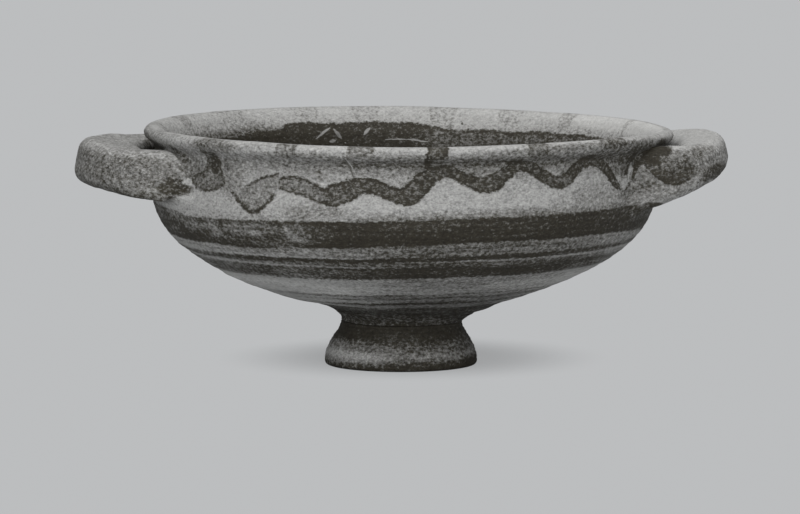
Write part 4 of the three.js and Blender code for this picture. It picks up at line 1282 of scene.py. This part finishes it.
def ring_tube(name, rows):
    """A closed ring from rows of points, the last of which joins the first."""
    count, around = len(rows), len(rows[0])
    faces = []
    for i in range(count):
        for k in range(around):
            j, n = (i + 1) % count, (k + 1) % around
            faces.append((i * around + k, i * around + n, j * around + n, j * around + k))
    mesh = bpy.data.meshes.new(name)
    mesh.from_pydata((np.vstack(rows) * mm).tolist(), [], faces)
    mesh.shade_smooth()
    return mesh


def outward_volume(mesh):
    """Six times the volume inside a mesh, negative where its faces point inwards."""
    places = spots(mesh)
    mesh.calc_loop_triangles()
    corners = np.array([t.vertices for t in mesh.loop_triangles])
    a, b, c = (places[corners[:, i]] for i in range(3))
    return float((a * np.cross(b, c)).sum())


for name, handle in handles.items():
    for root, end in fillet_ends.items():
        end_of_loop = end * handle["side"]
        mesh = ring_tube(f"{name}_{root}_pressed_clay", pressed_fillet(handle, end_of_loop))
        if outward_volume(mesh) < 0:
            mesh.flip_normals()
        luting_spots = spots(mesh)
        note(mesh, **arm_fields(name, mesh, luting_spots))
        move_to(mesh, settle(luting_spots))
        piece = linked(mesh.name, mesh)
        mesh.materials.append(clay(f"{name}_{root}_luting_clay", pitting=0.9, grit=0.7, bump=0.5, fields=bowl_fields,
                                   fixed={"Blotches": 0.5, "Speckle": 1.0}))
        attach(piece, "root")
        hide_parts(f"{name}_handle_{root}_luting")
bpy.data.objects.remove(wall)

# Floor and backdrop
# One sheet of pale paper, flat under the bowl and swept up behind it. The camera sees it nearly even
# in tone, with a faint shadow by the foot.
paper_half_width = 3.0
paper_front = -2.5
paper_bend_start = 1.6
paper_bend = 0.8
paper_top = 3.0
paper_tone = (0.503, 0.512, 0.520)


def paper_material():
    material = bpy.data.materials.new("pale_paper")
    material.use_nodes = True
    tree = material.node_tree
    shader = tree.nodes["Principled BSDF"]
    shader.inputs["Base Color"].default_value = (*paper_tone, 1)
    shader.inputs["Roughness"].default_value = 1
    shader.inputs["Specular IOR Level"].default_value = 0
    place = add(tree, "ShaderNodeTexCoord", output="Object")
    behind = add(tree, "ShaderNodeVectorMath", {0: place, 1: (0.0035, 0.016, 0.0)}, operation="SUBTRACT")
    away = add(tree, "ShaderNodeVectorMath", {0: behind}, output="Value", operation="LENGTH")
    even = ramp(tree, away, 0.024, 0.066, 0.64, 1.0)
    seen = calc(tree, "MULTIPLY", even, add(tree, "ShaderNodeLightPath", output="Is Camera Ray"))
    glow = add(tree, "ShaderNodeEmission", {"Color": (*paper_tone, 1)})
    mixed = add(tree, "ShaderNodeMixShader", {0: seen, 1: shader.outputs[0], 2: glow})
    join(tree, mixed, tree.nodes["Material Output"].inputs["Surface"])
    return material


paper_line = [(paper_front, 0.0)]
for step in range(17):
    a = math.pi / 2 * step / 16
    paper_line.append((paper_bend_start + paper_bend * math.sin(a), paper_bend - paper_bend * math.cos(a)))
paper_line.append((paper_bend_start + paper_bend, paper_top))
paper_corners = [(x, y, z) for y, z in paper_line for x in (-paper_half_width, paper_half_width)]
paper_faces = [(2 * i, 2 * i + 1, 2 * i + 3, 2 * i + 2) for i in range(len(paper_line) - 1)]
paper_mesh = bpy.data.meshes.new("paper")
paper_mesh.from_pydata(paper_corners, [], paper_faces)
paper_mesh.shade_smooth()
paper_mesh.materials.append(paper_material())
paper = linked("paper", paper_mesh)

# Light
# Two broad soft lamps, one overhead and one in front, and weak light from all round.
lamps = {
    "overhead_lamp": (Vector((0.1, -0.35, 1.25)), 1.3, 9),
    "front_lamp": (Vector((-0.1, -1.8, 0.6)), 1.4, 17),
}
room_light = 0.32

for name, (place, width, power) in lamps.items():
    lamp_data = bpy.data.lights.new(name, "AREA")
    lamp_data.shape = "DISK"
    lamp_data.size = width
    lamp_data.energy = power
    lamp = linked(name, lamp_data)
    lamp.location = place
    lamp.rotation_euler = (-place).to_track_quat("-Z", "Y").to_euler()

room = bpy.data.worlds.new("room")
room.use_nodes = True
room.node_tree.nodes["Background"].inputs["Color"].default_value = (1, 1, 1, 1)
room.node_tree.nodes["Background"].inputs["Strength"].default_value = room_light
bpy.context.scene.world = room
bpy.context.scene.view_settings.view_transform = "Standard"

# Camera
# A long lens from the front, looking down a little into the bowl.
camera_distance = 1.6
camera_dip = math.radians(5.7)
looked_at = Vector((-0.0003, 0, 0.0343))
camera_data = bpy.data.cameras.new("camera")
camera_data.lens = 225
camera_data.sensor_width = 36
camera = linked("camera", camera_data)
camera.location = looked_at + Vector((0, -math.cos(camera_dip), math.sin(camera_dip))) * camera_distance
camera.rotation_euler = (math.pi / 2 - camera_dip, 0, 0)
bpy.context.scene.camera = camera
